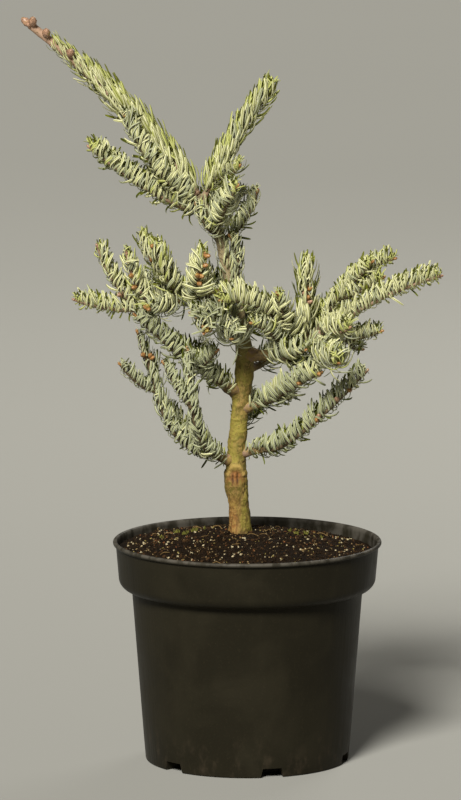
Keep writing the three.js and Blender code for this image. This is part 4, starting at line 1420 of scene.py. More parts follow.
def limb_finish(settings, name, light, dark, mark):
    """Thin bark with round scars where needles stood, which turns to another where the points say so."""
    finish = Finish(name, light, Specular_IOR_Level=0.3)
    mottle = finish.noise(0.0035, 4, twist=0.5)
    grain = finish.noise(0.0009, 3)
    scars = finish.cells(0.0021)
    if mark == "pale":
        share = finish.span(mottle, 0.4, 0.75, 0, 0.45)
        low, high = shade(settings.young), shade(light, 1.5)
    else:
        share = finish.span(mottle, 0.35, 0.65)
        low, high = shade(settings.young, 0.6), shade(settings.tan, 0.95)
    finish.colour = finish.mix(finish.span(mottle, 0.35, 0.68), shade(dark), shade(light))
    finish.paint(finish.value(mark), finish.mix(share, low, high))
    finish.paint(finish.span(grain, 0.5, 0.75, 0, 0.5), shade(light, 1.4))
    finish.paint(finish.span(scars, 0.10, 0.24, 0.4, 0), shade(settings.tan, 1.1))
    finish.paint(finish.span(scars, 0.0, 0.09, 0.8, 0), shade(settings.rust, 0.35))
    finish.bump(mottle, 0.0004)
    finish.bump(finish.span(scars, 0.05, 0.24, 1, 0), 0.0003)
    finish.bump(grain, 0.00015)
    return finish.done(finish.span(mottle, 0.3, 0.7, 0.6, 0.85))


def make_trunk(settings):
    limb = plan()[0]["trunk"]
    marks = along(limb.path.length, TRUNK_STEP, TRUNK_CAP)
    radii = rounded_end(marks, limb.radius_at(marks / limb.path.length), TRUNK_CAP)
    points, faces, values = limb_body(
        limb.path, marks, radii, settings.trunk_sides, trunk_relief(settings.relief / MM), (1, 0, 0),
    )
    made = Shape().add(points, faces, **values).placed("trunk_bark")
    coat(made, trunk_finish(settings))
    keep(made, "trunk_bark", "trunk")


def branch_body(limb, collar, joint, step, cap, sides, relief):
    """A bough or twig from inside the limb that bears it, wider at its collar and its joint by a share."""
    path = limb.path if limb.heart is None else Path(np.vstack((limb.heart, limb.path.points)))
    marks = along(path.length, step, cap)
    outside = np.maximum(marks - (path.length - limb.path.length), 0)
    radii = limb.radius_at(outside / limb.path.length) * (1 + collar * np.exp(-outside / COLLAR_RUN))
    radii = radii * (1 + joint * hump(outside, limb.path.length * 0.5, JOINT_RUN))
    radii = rounded_end(marks, radii, cap)
    points, faces, _ = limb_body(path, marks, radii, sides, relief, (0.1, 0.2, 1))
    return points, faces


def bark_relief(relief, seed):
    """Lumps and swellings of a bough or twig, moved on in the noise by its seed."""
    def rise(points, _turns):
        moved = points + seed * SEED_STRIDE
        lumps = field(moved, TWIG_LUMPS) * relief * TWIG_LUMPS.height
        lumps = lumps + field(moved, TWIG_GRAIN) * relief * TWIG_GRAIN.height
        return lumps + smoothstep(field(moved, SWELLINGS), 0.35, 0.6) * relief * SWELLINGS.height, {}

    return rise


def make_boughs(settings):
    limbs, _ = plan()
    light, dark = shade(settings.twig, 1.6, 0.12), shade(settings.twig, 0.8, 0.1)
    finish = limb_finish(settings, "bough bark", light, dark, "old")
    for number, name in enumerate(BOUGHS):
        relief = bark_relief(settings.relief / MM * BOUGH_RELIEF, BOUGH_SEED + number)
        points, faces = branch_body(
            limbs[name], BOUGH_COLLAR, 0, BOUGH_STEP, BOUGH_CAP, settings.bough_sides, relief,
        )
        old = 1 - smoothstep(limbs["trunk"].clearance(points), *TRUNK_LIKE)
        made = Shape().add(points, faces, old=old).placed(f"bark_{name}")
        coat(made, finish)
        keep(made, "bough_bark", f"bough_{name}")


def make_twigs(settings):
    """Every shoot's stem, from inside the limb that bears it, joined as one piece."""
    shape = Shape()
    for number, stem in enumerate(plan()[1]):
        relief = bark_relief(settings.relief / MM * TWIG_RELIEF, TWIG_SEED + number)
        collar = stem.root_radius / stem.radius - 1
        points, faces = branch_body(
            stem, collar, TWIG_JOINT, TWIG_STEP, TWIG_CAP, settings.twig_sides, relief,
        )
        shape.add(points, faces, pale=PALE_TWIGS.get(stem.name, OTHER_TWIGS))
    made = shape.placed("twigs")
    coat(made, limb_finish(settings, "twig bark", settings.twig, shade(settings.twig, 0.5), "pale"))
    keep(made, "bough_bark")


# ---- buds

Bud = namedtuple("Bud", "root axis size kind")
LEADER_BUD = 1.6  # sizes as shares of a side bud's
END_BUD = 0.58
BESIDE_END = 0.72  # the pair beside an end bud, as a share of that one
END_SINK = 0.8  # how far back along the shoot a bud is rooted
PAIR_SINK = 1.6
SIDE_SINK = 0.4
SIDE_BUD_SHARES = np.linspace(0.03, 1, 120)
TOWARDS_FRONT = 7.0  # a side bud leans this far to the front of its place
BUD_SEED = 11
PINK_TIPS = ("leader", "top_left", "left_tip", "right_far", "low_right")
SCALE_COLUMNS = 5.0  # columns of scales round a bud, and how far they wind about it
SCALE_WIND = 7.0


@lru_cache(maxsize=1)
def bud_plan():
    """A bud at each shoot's tip with a smaller one on either side, and the side buds of the table."""
    _, stems = plan()
    rng = np.random.default_rng(BUD_SEED)
    buds = []
    for stem in stems:
        tip, heading = stem.path.at(1), stem.path.heading(1)
        side = level_side(heading)
        big = LEADER_BUD if stem.name == "leader" else END_BUD
        kind = PINK if stem.name in PINK_TIPS else ORANGE
        buds.append(Bud(tip - heading * END_SINK, heading, big, kind))
        for way in (-1, 1):
            rise = np.array((0, 0, rng.uniform(-0.2, 0.4)))
            axis = unit(heading * 0.55 + side * way * 0.8 + rise)
            buds.append(Bud(tip - heading * PAIR_SINK, axis, big * BESIDE_END, kind))
    for name, places in SIDE_BUDS.items():
        own = [stem for stem in stems if stem.name == name]
        buds += [side_bud(own, *place) for place in places]
    return buds


def side_bud(stems, across, up, kind=ORANGE):
    """A bud on the shoot that passes nearest behind a place on the plane of the trunk."""
    best = None
    for stem in stems:
        spots = stem.path.at(SIDE_BUD_SHARES)
        seen = spots[:, 2] + DEPTH_RISE * spots[:, 1]
        away = np.hypot(spots[:, 0] - across, seen - up)
        nearest = int(np.argmin(away))
        if best is None or away[nearest] < best[0]:
            best = (away[nearest], stem, SIDE_BUD_SHARES[nearest], spots[nearest], seen[nearest])
    _, stem, share, spot, seen = best
    heading = stem.path.heading(share)
    wanted = np.array((across - spot[0], -TOWARDS_FRONT, up - seen))
    out = unit(wanted - heading * (wanted @ heading) * 0.6)
    flat = unit(out - heading * (out @ heading))
    root = spot + flat * (float(stem.radius_at(share)) - SIDE_SINK)
    return Bud(root, unit(out + heading * 0.35), LEADER_BUD if stem.name == "leader" else 1.0, kind)


def bud_finish(name, colour, resin_colour):
    finish = Finish(name, colour, Coat_Weight=0.35, Coat_Roughness=0.3)
    spots = finish.noise(0.0014, 3)
    resin = finish.noise(0.0035, 2)
    finish.colour = finish.mix(finish.span(spots, 0.36, 0.68), shade(colour, 0.55), shade(colour, 1.2))
    finish.paint(finish.span(resin, 0.58, 0.75, 0, 0.6), shade(resin_colour, 1.2))
    finish.bump(spots, 0.0002)
    return finish.done(finish.span(spots, 0.3, 0.7, 0.38, 0.62))


def bud_tree(materials):
    """Egg-shaped buds with rows of scales, one on each point."""
    growth = Growth("buds", Length=0.0056, Width=0.004, Scales=0.12)
    egg = growth.get("GeometryNodeMeshUVSphere", {"Segments": 10, "Rings": 7, "Radius": 1.0})
    parts = growth.node("ShaderNodeSeparateXYZ", {"Vector": growth.get("GeometryNodeInputPosition")})
    x, y, z = (parts.outputs[axis] for axis in "XYZ")
    column = growth.times(growth.math("ARCTAN2", y, x), SCALE_COLUMNS)
    wind = growth.times(growth.plus(z, 1.0), SCALE_WIND)
    scale = growth.times(growth.math("SINE", growth.plus(column, wind)), growth.input("Scales"))
    taper = growth.less(0.92, growth.times(z, 0.22))
    wide = growth.times(growth.plus(taper, scale), growth.times(growth.input("Width"), 0.5))
    high = growth.times(growth.plus(z, 0.85), growth.times(growth.input("Length"), 0.5))
    egg = growth.moved(egg, Position=growth.vector(growth.times(x, wide), growth.times(y, wide), high))
    axis = growth.named("axis", "FLOAT_VECTOR")
    turn = growth.get("FunctionNodeAlignRotationToVector", {"Vector": axis}, axis="Z")
    buds = growth.on_points(egg, turn, growth.named("size"))
    return growth.finish(buds, materials, "kind")


def points_mesh(name, root, **values):
    """Bare points with named values, for a node tree to grow on."""
    mesh = bpy.data.meshes.new(name)
    mesh.vertices.add(len(root))
    mesh.vertices.foreach_set("co", (np.asarray(root) * MM).astype(np.float32).ravel())
    for label, value in values.items():
        mark(mesh, label, value)
    return mesh


def make_buds(settings):
    buds = bud_plan()
    materials = [
        bud_finish("orange bud", settings.orange, settings.yellow),
        bud_finish("tan bud", settings.pink, settings.yellow),
        bud_finish("yellow bud", settings.yellow, settings.yellow),
    ]
    mesh = points_mesh("bud_points", **{key: [getattr(bud, key) for bud in buds] for key in Bud._fields})
    made = grown("buds", mesh, bud_tree(materials), Length=settings.length, Width=settings.width)
    smooth(made.data)
    keep(made, "bough_bark")


# ---- needles

CURLS = 4  # kinds of needle, from the straightest to the most curled
NEEDLE_STEPS = 7
TIP_CROWDING = 1.25  # draws a needle's rings together towards its blunt tip
EASING = 2.0  # how much more a needle bends near its root than near its tip
BLADE_OUTLINE = ((0, 0.5), (0.2, 0.78), (0.6, 1.0), (0.9, 0.92), (1, 0.42))
RIB_HALF_WIDTH = 0.13  # as a share of the width, and the next two of the thickness
RIB_HEIGHT = 0.72
UPPER_CROWN = 0.05
SIDE_PARTS = (2, 1, 0, 0, 1)  # what each side of the section is: 0 upper side, 1 silver band, 2 rib
SMOOTH_EDGE = 0.7  # edges that turn less than this, in radians, are shaded smooth
TURN = 137.5  # round the shoot from one needle to the next, in degrees
WANDER = 17
LEAN = 0.42
TIP_LEAN = 1.1
PUSH_UP = 0.12  # how much the needles crowd towards the upper side
MIDDLING_SPREAD = 11
TIP_RUN = 12  # the last stretch of a shoot, where the needles lie forward round the bud
OPEN_END = TIP_RUN * 4.0
FIRST_NEEDLE = 2.5  # from a shoot's start, and the last one from its tip
LAST_NEEDLE = 0.6
ROOT_SINK = 0.35
STEM_CLEAR = 2.4  # a needle comes no nearer to another stem's middle
LIMB_CLEAR = 0.6
BUD_CLEAR = 2.5
BUD_HEART = 3  # from a bud's root to its middle
BUD_REACH = (-3, 9)
STEM_CHECKS = (1.0, 0.55)  # the shares of a needle's length that are kept clear
BUD_CHECKS = (0.5, 0.95)
CURL_STEPS = 8
STRIP_POINTS = 400
# Tints: the darker silver is painted shade and the lighter warm one painted light; the fresh one is young
# growth.
SHADED_SILVER, LIT_WARM, FRESH = range(3)

# The way a needle bends: round a level shoot towards its upper side, up and along a steep one.  Some of
# those that hang cross to the other side.
AROUND = 1.15
UP = np.array((0, 0, 0.2))
FORWARD = 0.8
CROSSING = 0.8
WILDNESS = 0.15
ALONG_ABOVE = 0.5  # how much the needles above the stem bend along it, not across
STEEP = 1.2
HANGING = 0.3

# How much shorter needles are under a level shoot, at a tip, at a foot and at the end of old wood's.
UNDER_SLIM = 0.12
TIP_SLIM = 0.42
FOOT_SLIM = 0.22
THIN_END = 0.5
THIN_SHARE = 0.4
FOOT_RUN = 8
SIZE_LIMITS = (0.72, 1.25)
SPREAD_LIMITS = (0.74, 1.28)

# What chance adds: to the lean, to the size and to the curl, which is counted in kinds of needle.
LEAN_LUCK = 0.12
SIZE_LUCK = 0.09
CURL_LUCK = 0.5
MIDDLING_CURL = 1.2
UNDER_CURL = 1.2
TIP_CURL = 0.7

# Young needles: a needle is one where its luck is less than its habit's share, which is small under the shoot
# and grows on the upper side, where the brighter tint is partly a painted light from above, and at the tip.
# A few stand anywhere.
YOUNG_LUCK = (0.35, 0.3)
YOUNG_UNDER = 0.3
YOUNG_LIT_ABOVE = 1.6
YOUNG_TIPS = 12
YOUNG_STRAYS = 0.3

# How the needles of a mass differ from the rest: how far they lean forward, how many are young ones,
# how many take the lighter warm tint, a painted light that the upper masses get most of while the lower
# ones keep the darker silver as painted shade, how much more they curl, how thickly they stand and how far
# they bend forward.
Habit = namedtuple("Habit", "lean fresh warm curl crowd forward", defaults=(LEAN, 0.04, 0.4, 0, 1, 0))
HABITS = {
    "leader": Habit(0.45, 0.36, 0.95, -0.5, 1.5, 0.65),
    "top_left": Habit(0.55, 0.22, 0.55, 0.2, 1.25),
    "top_right": Habit(0.42, 0.35, 0.75, -0.5, 1.2, 0.4),
    "leader_side": Habit(0.55, 0.02, 0.45, 0.2, 1.25),
    "top_front": Habit(0.45, 0.16, 0.45),
    "left_up": Habit(0.38, 0.24, 0.75, -0.4, 1.1, 0.1),
    "left_tip": Habit(0.45, 0.18, 0.75),
    "left_front_high": Habit(0.55, 0.14, 0.60),
    "right_front_long": Habit(0.40, 0.20, 0.85),
    "right_up": Habit(0.42, 0.26, 0.80, -0.5, 1.2, 0.2),
    "right_far": Habit(0.45, 0.16, 0.85),
    "right_high": Habit(0.50, 0.32, 0.80),
    "right_facing": Habit(0.45, 0.20, 0.50),
    "low_left_outer": Habit(0.30, 0.02, 0.05, 0.6),
    "low_left_inner": Habit(0.30, 0.02, 0.05, 0.6),
    "low_right": Habit(0.30, 0.03, 0.08, 0.6, 0.8),
    "mid_right": Habit(0.80, 0.02, 0.25),
    "front_left": Habit(0.45, 0, 0.20),
    "front_mid": Habit(0.40, 0.01, 0.30),
    "mid_left": Habit(0.50, 0.01, 0.05),
}

# The trunk's and boughs' own needles: from and to a share of the limb, their reach, how thick they stand
# as a share of a shoot's, and the middle and half width of a bare strip, in degrees round from +X.
OLD_HABIT = Habit(0.5, 0.03, 0.35, -0.9)
OldWood = namedtuple("OldWood", "region limb first last spread share bare", defaults=(None,))
OLD_WOOD = (
    OldWood("top", "trunk", 0.68, 0.985, 10, 1.5, (224, 24)),
    OldWood("right", "right", 0.32, 0.98, 11, 0.8),
    OldWood("left", "left", 0.30, 0.98, 11, 0.8),
    OldWood("low", "low_left", 0.08, 0.95, 8, 0.9),
    OldWood("low", "low_right", 0.0, 0.95, 9, 0.9),
    OldWood("low", "low_back", 0.7, 0.98, 10, 0.9),
    OldWood("middle", "mid_back", 0.5, 0.98, 10, 0.9),
    OldWood("right_outer", "right_back", 0.3, 0.98, 10, 0.9),
    OldWood("left", "left_back", 0.2, 0.98, 10, 0.9),
    OldWood("middle", "mid_left", 0.1, 0.98, 10, 0.8),
    OldWood("middle", "mid_right", 0.1, 0.98, 10, 0.8),
)

# A stretch of a shoot or of old wood, from and to a share of its path.  It closes where it ends in a tip.
Run = namedtuple("Run", "path radius_at first last spread rate closes own habit bare")
NO_STEM = -1


def needle_runs(region, rate):
    """The stretches of shoots and of old wood that bear the needles of one part of the crown."""
    limbs, stems = plan()
    runs = []
    for number, stem in enumerate(stems):
        if MASSES[stem.name].region == region:
            closes = stem.bare == 1
            runs.append(Run(
                stem.path, stem.radius_at, FIRST_NEEDLE / stem.path.length,
                1 - LAST_NEEDLE / stem.path.length if closes else stem.bare,
                stem.spread, rate, closes, number, HABITS.get(stem.name, Habit()), None,
            ))
    for rule in OLD_WOOD:
        if rule.region == region:
            limb = limbs[rule.limb]
            runs.append(Run(
                limb.path, limb.radius_at, rule.first, rule.last, rule.spread, rate * rule.share, False,
                NO_STEM, OLD_HABIT, rule.bare,
            ))
    return runs


def needle_spots(run, rng):
    """Where the needles of a stretch stand, the way each leaves and bends, and how big it is."""
    path, habit = run.path, run.habit
    count = int((run.last - run.first) * path.length * run.rate * habit.crowd)
    share = run.first + (np.arange(count) + rng.random(count)) / count * (run.last - run.first)
    heading = path.heading(share)
    side = level_side(heading)
    lift = np.cross(side, heading)
    turn = np.radians(np.arange(count) * TURN + rng.uniform(-WANDER, WANDER, count))
    turn = turn + PUSH_UP * np.cos(turn)
    sine, cosine = np.sin(turn), np.cos(turn)
    outward = side * cosine[:, None] + lift * sine[:, None]
    level = np.hypot(heading[:, 0], heading[:, 1])[:, None]
    left = (1 - share) * path.length if run.closes else np.full(count, OPEN_END)
    nearness = smoothstep(left, TIP_RUN, 0)
    lean = habit.lean + (TIP_LEAN - habit.lean) * nearness + rng.normal(0, LEAN_LUCK, count)
    first = unit(outward + heading * lean[:, None])
    crossing = rng.normal(0, CROSSING, count) * np.clip(HANGING - sine, 0, 1)
    around = np.sign(cosine + crossing)[:, None] * (lift * cosine[:, None] - side * sine[:, None])
    above = np.clip(sine, 0, 1)[:, None]
    across = AROUND * level * (1 - ALONG_ABOVE * above) * around
    along = (STEEP - level + ALONG_ABOVE * above) * FORWARD * heading
    over = (1 - habit.forward) * (across + UP + along)
    over = over + habit.forward * heading + rng.normal(0, WILDNESS, (count, 3))
    bend = unit(over - first * (over * first).sum(1)[:, None])
    root = path.at(share) + outward * (run.radius_at(share) - ROOT_SINK)[:, None]
    slim = 0 if run.closes else THIN_END * smoothstep(share, run.last - THIN_SHARE, run.last)
    slim = slim + UNDER_SLIM * level[:, 0] * smoothstep(-sine, 0.5, 1)
    young = 1 - TIP_SLIM * nearness - FOOT_SLIM * smoothstep(share * path.length, FOOT_RUN, 0)
    luck = rng.normal(1, SIZE_LUCK, count).clip(*SIZE_LIMITS)
    size = np.clip(run.spread / MIDDLING_SPREAD, *SPREAD_LIMITS) * (young - slim) * luck
    return {"root": root, "first": first, "bend": bend, "size": size, "left": left, "turn": turn}


def off_bare_strip(spots, path, middle, half_width):
    """The needles that don't stand on a limb's bare strip, whose place is in degrees round from +X."""
    line = path.at(np.linspace(0, 1, STRIP_POINTS))
    away = np.linalg.norm(spots["root"][:, None] - line, axis=2)
    out = spots["root"] - line[np.argmin(away, 1)]
    way = np.degrees(np.arctan2(out[:, 1], out[:, 0])) - middle
    shown = np.abs((way + 180) % 360 - 180) > half_width
    return {key: values[shown] for key, values in spots.items()}


def curled_place(spots, curl, length, share):
    """A place along each needle, at a share of its length.  The bend eases off from root to tip."""
    steps = (np.arange(CURL_STEPS) + 0.5) / CURL_STEPS * share
    turns = curl[:, None] * (1 - (1 - steps) ** EASING)
    run = (length * share * spots["size"])[:, None]
    ahead, over = np.cos(turns).mean(1)[:, None] * run, np.sin(turns).mean(1)[:, None] * run
    return spots["root"] + spots["first"] * ahead + spots["bend"] * over


class Room:
    """The room that the limbs and the other stems leave for a needle."""

    def __init__(self):
        limbs, stems = plan()
        self.limbs = list(limbs.values())
        self.owners = []
        spots = []
        for number, stem in enumerate(stems):
            count = max(2, math.ceil(stem.path.length / BALL_STEP))
            spots += list(stem.path.at(np.linspace(0, 1, count)))
            self.owners += [number] * count
        self.tree = KDTree(len(spots))
        for index, spot in enumerate(spots):
            self.tree.insert(spot, index)
        self.tree.balance()

    def free(self, places, own):
        clear = np.ones(len(places), bool)
        for limb in self.limbs:
            clear &= limb.clearance(places) > LIMB_CLEAR
        for index, place in enumerate(places):
            if clear[index]:
                near = self.tree.find_range(place, STEM_CLEAR)
                clear[index] = all(self.owners[found[1]] == own for found in near)
        return clear


def clear_of_buds(places):
    clear = np.ones(len(places), bool)
    for bud in bud_plan():
        away = places - (bud.root + bud.axis * BUD_HEART)
        run = np.clip(away @ bud.axis, *BUD_REACH)
        clear &= np.linalg.norm(away - run[:, None] * bud.axis, axis=1) > BUD_CLEAR * bud.size
    return clear


def chosen_needles(run, spots, settings, room, rng):
    """The needles of a stretch that have room, each with its curl and its tint."""
    count, habit = len(spots["size"]), run.habit
    below = np.clip(-np.sin(spots["turn"]), -1, 1)
    at_tip = smoothstep(spots["left"], TIP_RUN * 1.1, 2)
    wanted = MIDDLING_CURL + UNDER_CURL * below * (1 - habit.forward) + habit.curl + TIP_CURL * at_tip
    wanted = wanted + rng.normal(0, CURL_LUCK, count)
    variant = np.clip(np.round(wanted), 0, CURLS - 1).astype(int)
    curl = np.linspace(settings.least_curl, settings.most_curl, CURLS)[variant]
    length = settings.length / MM
    clear = np.ones(count, bool)
    for share in STEM_CHECKS:
        clear &= room.free(curled_place(spots, curl, length, share), run.own)
    for share in BUD_CHECKS:
        clear &= clear_of_buds(curled_place(spots, curl, length, share))
    upper = np.clip(np.sin(spots["turn"]) * 1.6 - 0.4, 0, 1)
    luck = YOUNG_LUCK[0] + YOUNG_LUCK[1] * rng.random(count)
    # On the upper side the young tint is partly painted light from above.
    fresh = luck < habit.fresh * (YOUNG_UNDER + YOUNG_LIT_ABOVE * upper)
    fresh |= luck < at_tip * min(1, YOUNG_TIPS * habit.fresh)
    fresh |= rng.random(count) < YOUNG_STRAYS * habit.fresh
    # The warm tint is painted light and the silver one painted shade, dealt out by each mass's habit.
    warm = rng.random(count) < habit.warm
    tint = np.where(fresh, FRESH, np.where(warm, LIT_WARM, SHADED_SILVER))
    chosen = {key: spots[key][clear] for key in ("root", "first", "bend", "size")}
    return {**chosen, "variant": variant[clear], "tint": tint[clear]}


def region_needles(region, settings, room):
    """The needles of one part of the crown, with what each is to look like."""
    rng = np.random.default_rng(settings.seed + REGIONS.index(region))
    batches = []
    for run in needle_runs(region, settings.per_metre * MM):
        spots = needle_spots(run, rng)
        batches.append((run, off_bare_strip(spots, run.path, *run.bare) if run.bare else spots))
    parts = [chosen_needles(run, spots, settings, room, rng) for run, spots in batches]
    return {key: np.concatenate([part[key] for part in parts]) for key in parts[0]}


def needle_finishes(settings):
    """Upper side, silver band and rib, in each of the three tints.  The silver tint is a darker copy, painted
    shade, and the warm tint a lighter copy, painted light.
    """
    silver, rib, green, fresh = settings.silver, settings.rib, settings.green, settings.fresh
    tints = (
        ("silver", green, silver, rib),
        ("warm", shade(green, 1.3, 0.06), settings.cream, shade(rib, 1.2, 0.05)),
        ("fresh", fresh, settings.young, shade(fresh, 0.9)),
    )
    made = []
    for name, top, band, middle in tints:
        for part, colour, rough in (("top", top, 0.42), ("band", band, 0.62), ("rib", middle, 0.5)):
            label = f"needle {name} {part}"
            made.append(Finish(label, colour, Roughness=rough, Specular_IOR_Level=0.25).done())
    return made


def blade_section(growth):
    """A needle's section: a nearly flat upper side and, under it, two slopes up to a rib."""
    width, thick = growth.input("Width"), growth.input("Thickness")
    half, rib = growth.times(width, 0.5), growth.times(width, RIB_HALF_WIDTH)
    under = growth.times(thick, RIB_HEIGHT)
    corners = (
        growth.vector(rib, under),
        growth.vector(growth.times(rib, -1.0), under),
        growth.vector(growth.times(half, -1.0), 0.0),
        growth.vector(0.0, growth.times(thick, -UPPER_CROWN)),
        growth.vector(half, 0.0),
    )
    section = growth.get("GeometryNodeCurvePrimitiveCircle", {"Resolution": len(corners), "Radius": 1.0})
    place = growth.pick(growth.get("GeometryNodeInputIndex"), corners, "VECTOR")
    return growth.moved(section, Position=place)


def blade_width(growth, share):
    """The needle's width at a share of its length."""
    outline = growth.node("ShaderNodeFloatCurve", {"Value": share})
    curve = outline.mapping.curves[0]
    root, *middle, tip = BLADE_OUTLINE
    curve.points[0].location = root
    curve.points[1].location = tip
    for place in middle:
        curve.points.new(*place)
    outline.mapping.update()
    return outline.outputs["Value"]


def curled_line(growth, curl, eased, run):
    """A line whose steps turn up by the curl, eased off from root to tip."""
    turn = growth.times(curl, eased)
    across, up = (growth.times(run, growth.math(operation, turn)) for operation in ("COSINE", "SINE"))
    summed = growth.node("GeometryNodeAccumulateField", data_type="FLOAT_VECTOR", domain="POINT")
    step = next(socket for socket in summed.inputs if socket.enabled)
    growth.feed(step, growth.vector(across, 0.0, up))
    place = next(socket for socket in summed.outputs if socket.enabled and socket.name == "Trailing")
    return growth.moved(growth.line(0, 1, NEEDLE_STEPS), Position=place)


def blades(growth):
    """A needle of each curl, as one set of instances, with each face's part of the needle stored."""
    share = growth.get("GeometryNodeSplineParameter")
    after = growth.math("MINIMUM", growth.plus(share, 1 / (NEEDLE_STEPS - 1)), 1.0)
    here, beyond = (growth.easing_off(part, TIP_CROWDING) for part in (share, after))
    eased = growth.easing_off(growth.times(growth.plus(here, beyond), 0.5), EASING)
    run = growth.times(growth.input("Length"), growth.less(beyond, here))
    section, width = blade_section(growth), blade_width(growth, here)
    facet = growth.math("MODULO", growth.get("GeometryNodeInputIndex"), float(len(SIDE_PARTS)))
    part = growth.pick(facet, SIDE_PARTS, "INT")
    edge = growth.node("GeometryNodeInputMeshEdgeAngle").outputs["Unsigned Angle"]
    rounded = growth.math("LESS_THAN", edge, SMOOTH_EDGE)
    instances = growth.node("GeometryNodeJoinGeometry")
    for kind in reversed(range(CURLS)):
        most = kind / (CURLS - 1)
        least = growth.times(growth.input("Least Curl"), 1 - most)
        curl = growth.plus(least, growth.times(growth.input("Most Curl"), most))
        blade = growth.get("GeometryNodeCurveToMesh", {
            "Curve": curled_line(growth, curl, eased, run), "Profile Curve": section, "Scale": width,
            "Fill Caps": True,
        })
        blade = growth.get("GeometryNodeSetShadeSmooth", {
            "Geometry": growth.stored(blade, "facet", part), "Shade Smooth": rounded,
        }, domain="EDGE")
        blade = growth.get("GeometryNodeGeometryToInstance", {"Geometry": blade})
        growth.tree.links.new(blade, instances.inputs[0])
    return instances.outputs["Geometry"]


def needle_tree(materials):
    """A curled blade with two silver bands under it, grown on each point."""
    growth = Growth(
        "needles", Length=0.014, Width=0.0019, Thickness=0.0007, Least_Curl=0.75, Most_Curl=1.9,
    )
    turn = growth.get("FunctionNodeAxesToRotation", {
        "Primary Axis": growth.named("first", "FLOAT_VECTOR"),
        "Secondary Axis": growth.named("bend", "FLOAT_VECTOR"),
    }, primary_axis="X", secondary_axis="Z")
    needles = growth.on_points(
        blades(growth), turn, growth.named("size"), Pick_Instance=True,
        Instance_Index=growth.named("variant", "INT"),
    )
    real = growth.get("GeometryNodeRealizeInstances", {"Geometry": needles})
    tint = growth.times(growth.named("tint", "INT"), 3.0)
    finished = growth.stored(real, "finish", growth.plus(tint, growth.named("facet", "INT")))
    return growth.finish(finished, materials, "finish")


def make_needles(settings):
    tree = needle_tree(needle_finishes(settings))
    room = Room()
    for region in REGIONS:
        mesh = points_mesh(f"{region}_points", **region_needles(region, settings, room))
        made = grown(
            f"needles_{region}", mesh, tree, Length=settings.length, Width=settings.width,
            Thickness=settings.thickness, Least_Curl=settings.least_curl, Most_Curl=settings.most_curl,
        )
        nodes = [f"foliage_{name}" for name, mass in MASSES.items() if mass.region == region]
        keep(made, "needles", *nodes)


# ---- stage

CAMERA_PLACE = (-14, -5900, 1265)
CAMERA_AIM = (-14, 0, 304.5)
CAMERA_LENS = 322.2
CAMERA_RANGE = 100

# Lamps by name: place and width in metres, and colour.  One without a width is an even distant light.
Lamp = namedtuple("Lamp", "place width colour")
LAMPS = {
    "key": Lamp((-0.85, -2.6, 2.6), 0, (1.0, 0.98, 0.93)),
    "fill": Lamp((2.4, -1.6, 1.0), 1.8, (1.0, 0.96, 0.82)),
    "rim": Lamp((1.0, 2.2, 1.8), 1.2, (1.0, 0.98, 0.95)),
}
LAMP_AIM = (0, 0, 0.3)
SKY_COLOUR = (1.0, 0.95, 0.78, 1)


def look(thing, place, aim):
    """Puts a camera or lamp at a place, turned to its aim."""
    place, aim = Vector(place), Vector(aim)
    thing.location = place
    thing.rotation_euler = (aim - place).to_track_quat("-Z", "Y").to_euler()


def add_lamp(name, plan_of, power):
    """A round soft lamp, or an even distant one where it has no width."""
    lamp = bpy.data.lights.new(name, "AREA" if plan_of.width else "SUN")
    if plan_of.width:
        lamp.shape = "DISK"
        lamp.size = plan_of.width
    lamp.energy = power
    lamp.color = plan_of.colour
    look(place_object(name, lamp), plan_of.place, LAMP_AIM)


def floor_finish(settings):
    finish = Finish("studio floor", settings.floor, Roughness=0.9, Specular_IOR_Level=0.1)
    cloud = finish.noise(0.9, 2)
    finish.colour = finish.mix(cloud, shade(settings.floor, 0.985), shade(settings.floor, 1.015))
    return finish.done()


def make_stage(settings):
    half = settings.floor_size / MM / 2
    corners = [(-half, -half, 0), (half, -half, 0), (half, half, 0), (-half, half, 0)]
    floor = Shape().add(corners, [(0, 1, 2, 3)]).placed("floor")
    floor.data.materials.append(floor_finish(settings))
    for name, lamp in LAMPS.items():
        add_lamp(name, lamp, getattr(settings, name))
    bpy.data.lights["key"].angle = settings.softness
    world = bpy.data.worlds.new("studio")
    world.use_nodes = True
    sky = world.node_tree.nodes["Background"]
    sky.inputs["Color"].default_value = SKY_COLOUR
    sky.inputs["Strength"].default_value = settings.sky
    scene = bpy.context.scene
    scene.world = world
    scene.view_settings.view_transform = "Standard"
    camera = place_object("camera", bpy.data.cameras.new("camera"))
    camera.data.lens = CAMERA_LENS
    camera.data.clip_end = CAMERA_RANGE
    look(camera, Vector(CAMERA_PLACE) * MM, Vector(CAMERA_AIM) * MM)
    scene.camera = camera


# ---- operators


class FIR_OT_pot(Operator):
    """Mould the nursery pot with its rolled lip, band and drain notches"""
    bl_idname = "fir.make_pot"
    bl_label = "Pot"

    def execute(self, context):
        make_pot(context.scene.fir_pot)
        return {"FINISHED"}


class FIR_OT_soil(Operator):
    """Fill the pot with a lumpy bed of soil"""
    bl_idname = "fir.make_soil"
    bl_label = "Soil"

    def execute(self, context):
        make_soil(context.scene.fir_soil)
        return {"FINISHED"}


class FIR_OT_litter(Operator):
    """Strew crumbs, grit, fibres and moss over the soil"""
    bl_idname = "fir.make_litter"
    bl_label = "Grit and moss"

    def execute(self, context):
        make_litter(context.scene.fir_soil)
        return {"FINISHED"}


class FIR_OT_trunk(Operator):
    """Grow the trunk with its graft, wound and bark"""
    bl_idname = "fir.make_trunk"
    bl_label = "Trunk"

    def execute(self, context):
        make_trunk(context.scene.fir_bark)
        return {"FINISHED"}


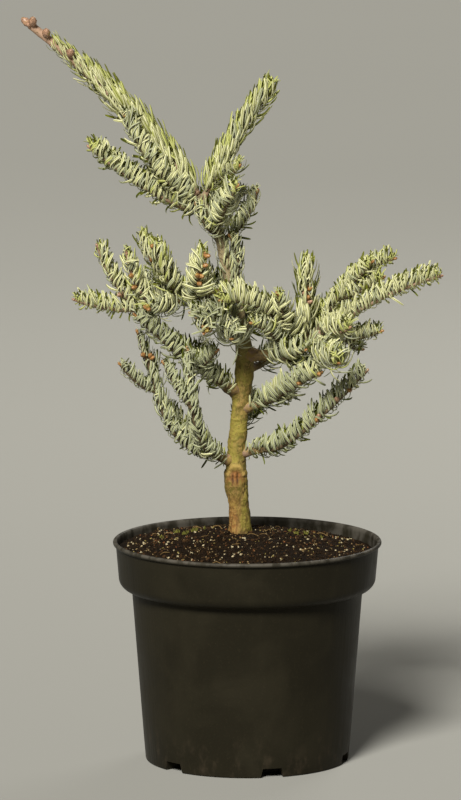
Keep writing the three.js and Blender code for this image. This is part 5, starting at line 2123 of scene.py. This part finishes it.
class FIR_OT_boughs(Operator):
    """Grow the ten boughs out of the trunk"""
    bl_idname = "fir.make_boughs"
    bl_label = "Boughs"

    def execute(self, context):
        make_boughs(context.scene.fir_bark)
        return {"FINISHED"}


class FIR_OT_twigs(Operator):
    """Grow the stem of every shoot"""
    bl_idname = "fir.make_twigs"
    bl_label = "Twigs"

    def execute(self, context):
        make_twigs(context.scene.fir_bark)
        return {"FINISHED"}


class FIR_OT_buds(Operator):
    """Set the buds at the tips and along the shoots"""
    bl_idname = "fir.make_buds"
    bl_label = "Buds"

    def execute(self, context):
        make_buds(context.scene.fir_buds)
        return {"FINISHED"}


class FIR_OT_needles(Operator):
    """Grow the curled silver needles on every shoot"""
    bl_idname = "fir.make_needles"
    bl_label = "Needles"

    def execute(self, context):
        make_needles(context.scene.fir_needles)
        return {"FINISHED"}


class FIR_OT_stage(Operator):
    """Set the plain floor, the lamps and the camera"""
    bl_idname = "fir.make_stage"
    bl_label = "Stage"

    def execute(self, context):
        make_stage(context.scene.fir_stage)
        return {"FINISHED"}


OPERATORS = (
    FIR_OT_stage, FIR_OT_pot, FIR_OT_soil, FIR_OT_litter, FIR_OT_trunk, FIR_OT_boughs, FIR_OT_twigs,
    FIR_OT_buds, FIR_OT_needles,
)
SETTINGS = {
    "fir_pot": FirPotSettings,
    "fir_soil": FirSoilSettings,
    "fir_bark": FirBarkSettings,
    "fir_buds": FirBudSettings,
    "fir_needles": FirNeedleSettings,
    "fir_stage": FirStageSettings,
}


class FIR_PT_panel(Panel):
    """The fir's pieces and their settings"""
    bl_idname = "FIR_PT_panel"
    bl_label = "Potted Korean fir"
    bl_space_type = "VIEW_3D"
    bl_region_type = "UI"
    bl_category = "Fir"

    def draw(self, context):
        layout = self.layout
        for operator in OPERATORS:
            layout.operator(operator.bl_idname)
        for name in SETTINGS:
            settings = getattr(context.scene, name)
            box = layout.box()
            for label in settings.bl_rna.properties.keys():
                if label not in ("rna_type", "name"):
                    box.prop(settings, label)


def register():
    for group in (*SETTINGS.values(), *OPERATORS, FIR_PT_panel):
        bpy.utils.register_class(group)
    for name, group in SETTINGS.items():
        setattr(bpy.types.Scene, name, PointerProperty(type=group))


def unregister():
    for name in SETTINGS:
        delattr(bpy.types.Scene, name)
    for group in reversed((*SETTINGS.values(), *OPERATORS, FIR_PT_panel)):
        bpy.utils.unregister_class(group)


def write_sizes():
    """Brings the view layer up to date."""
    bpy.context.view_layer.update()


def main():
    register()
    for operator in OPERATORS:
        family, name = operator.bl_idname.split(".")
        getattr(getattr(bpy.ops, family), name)()
    write_sizes()


if __name__ == "__main__":
    main()
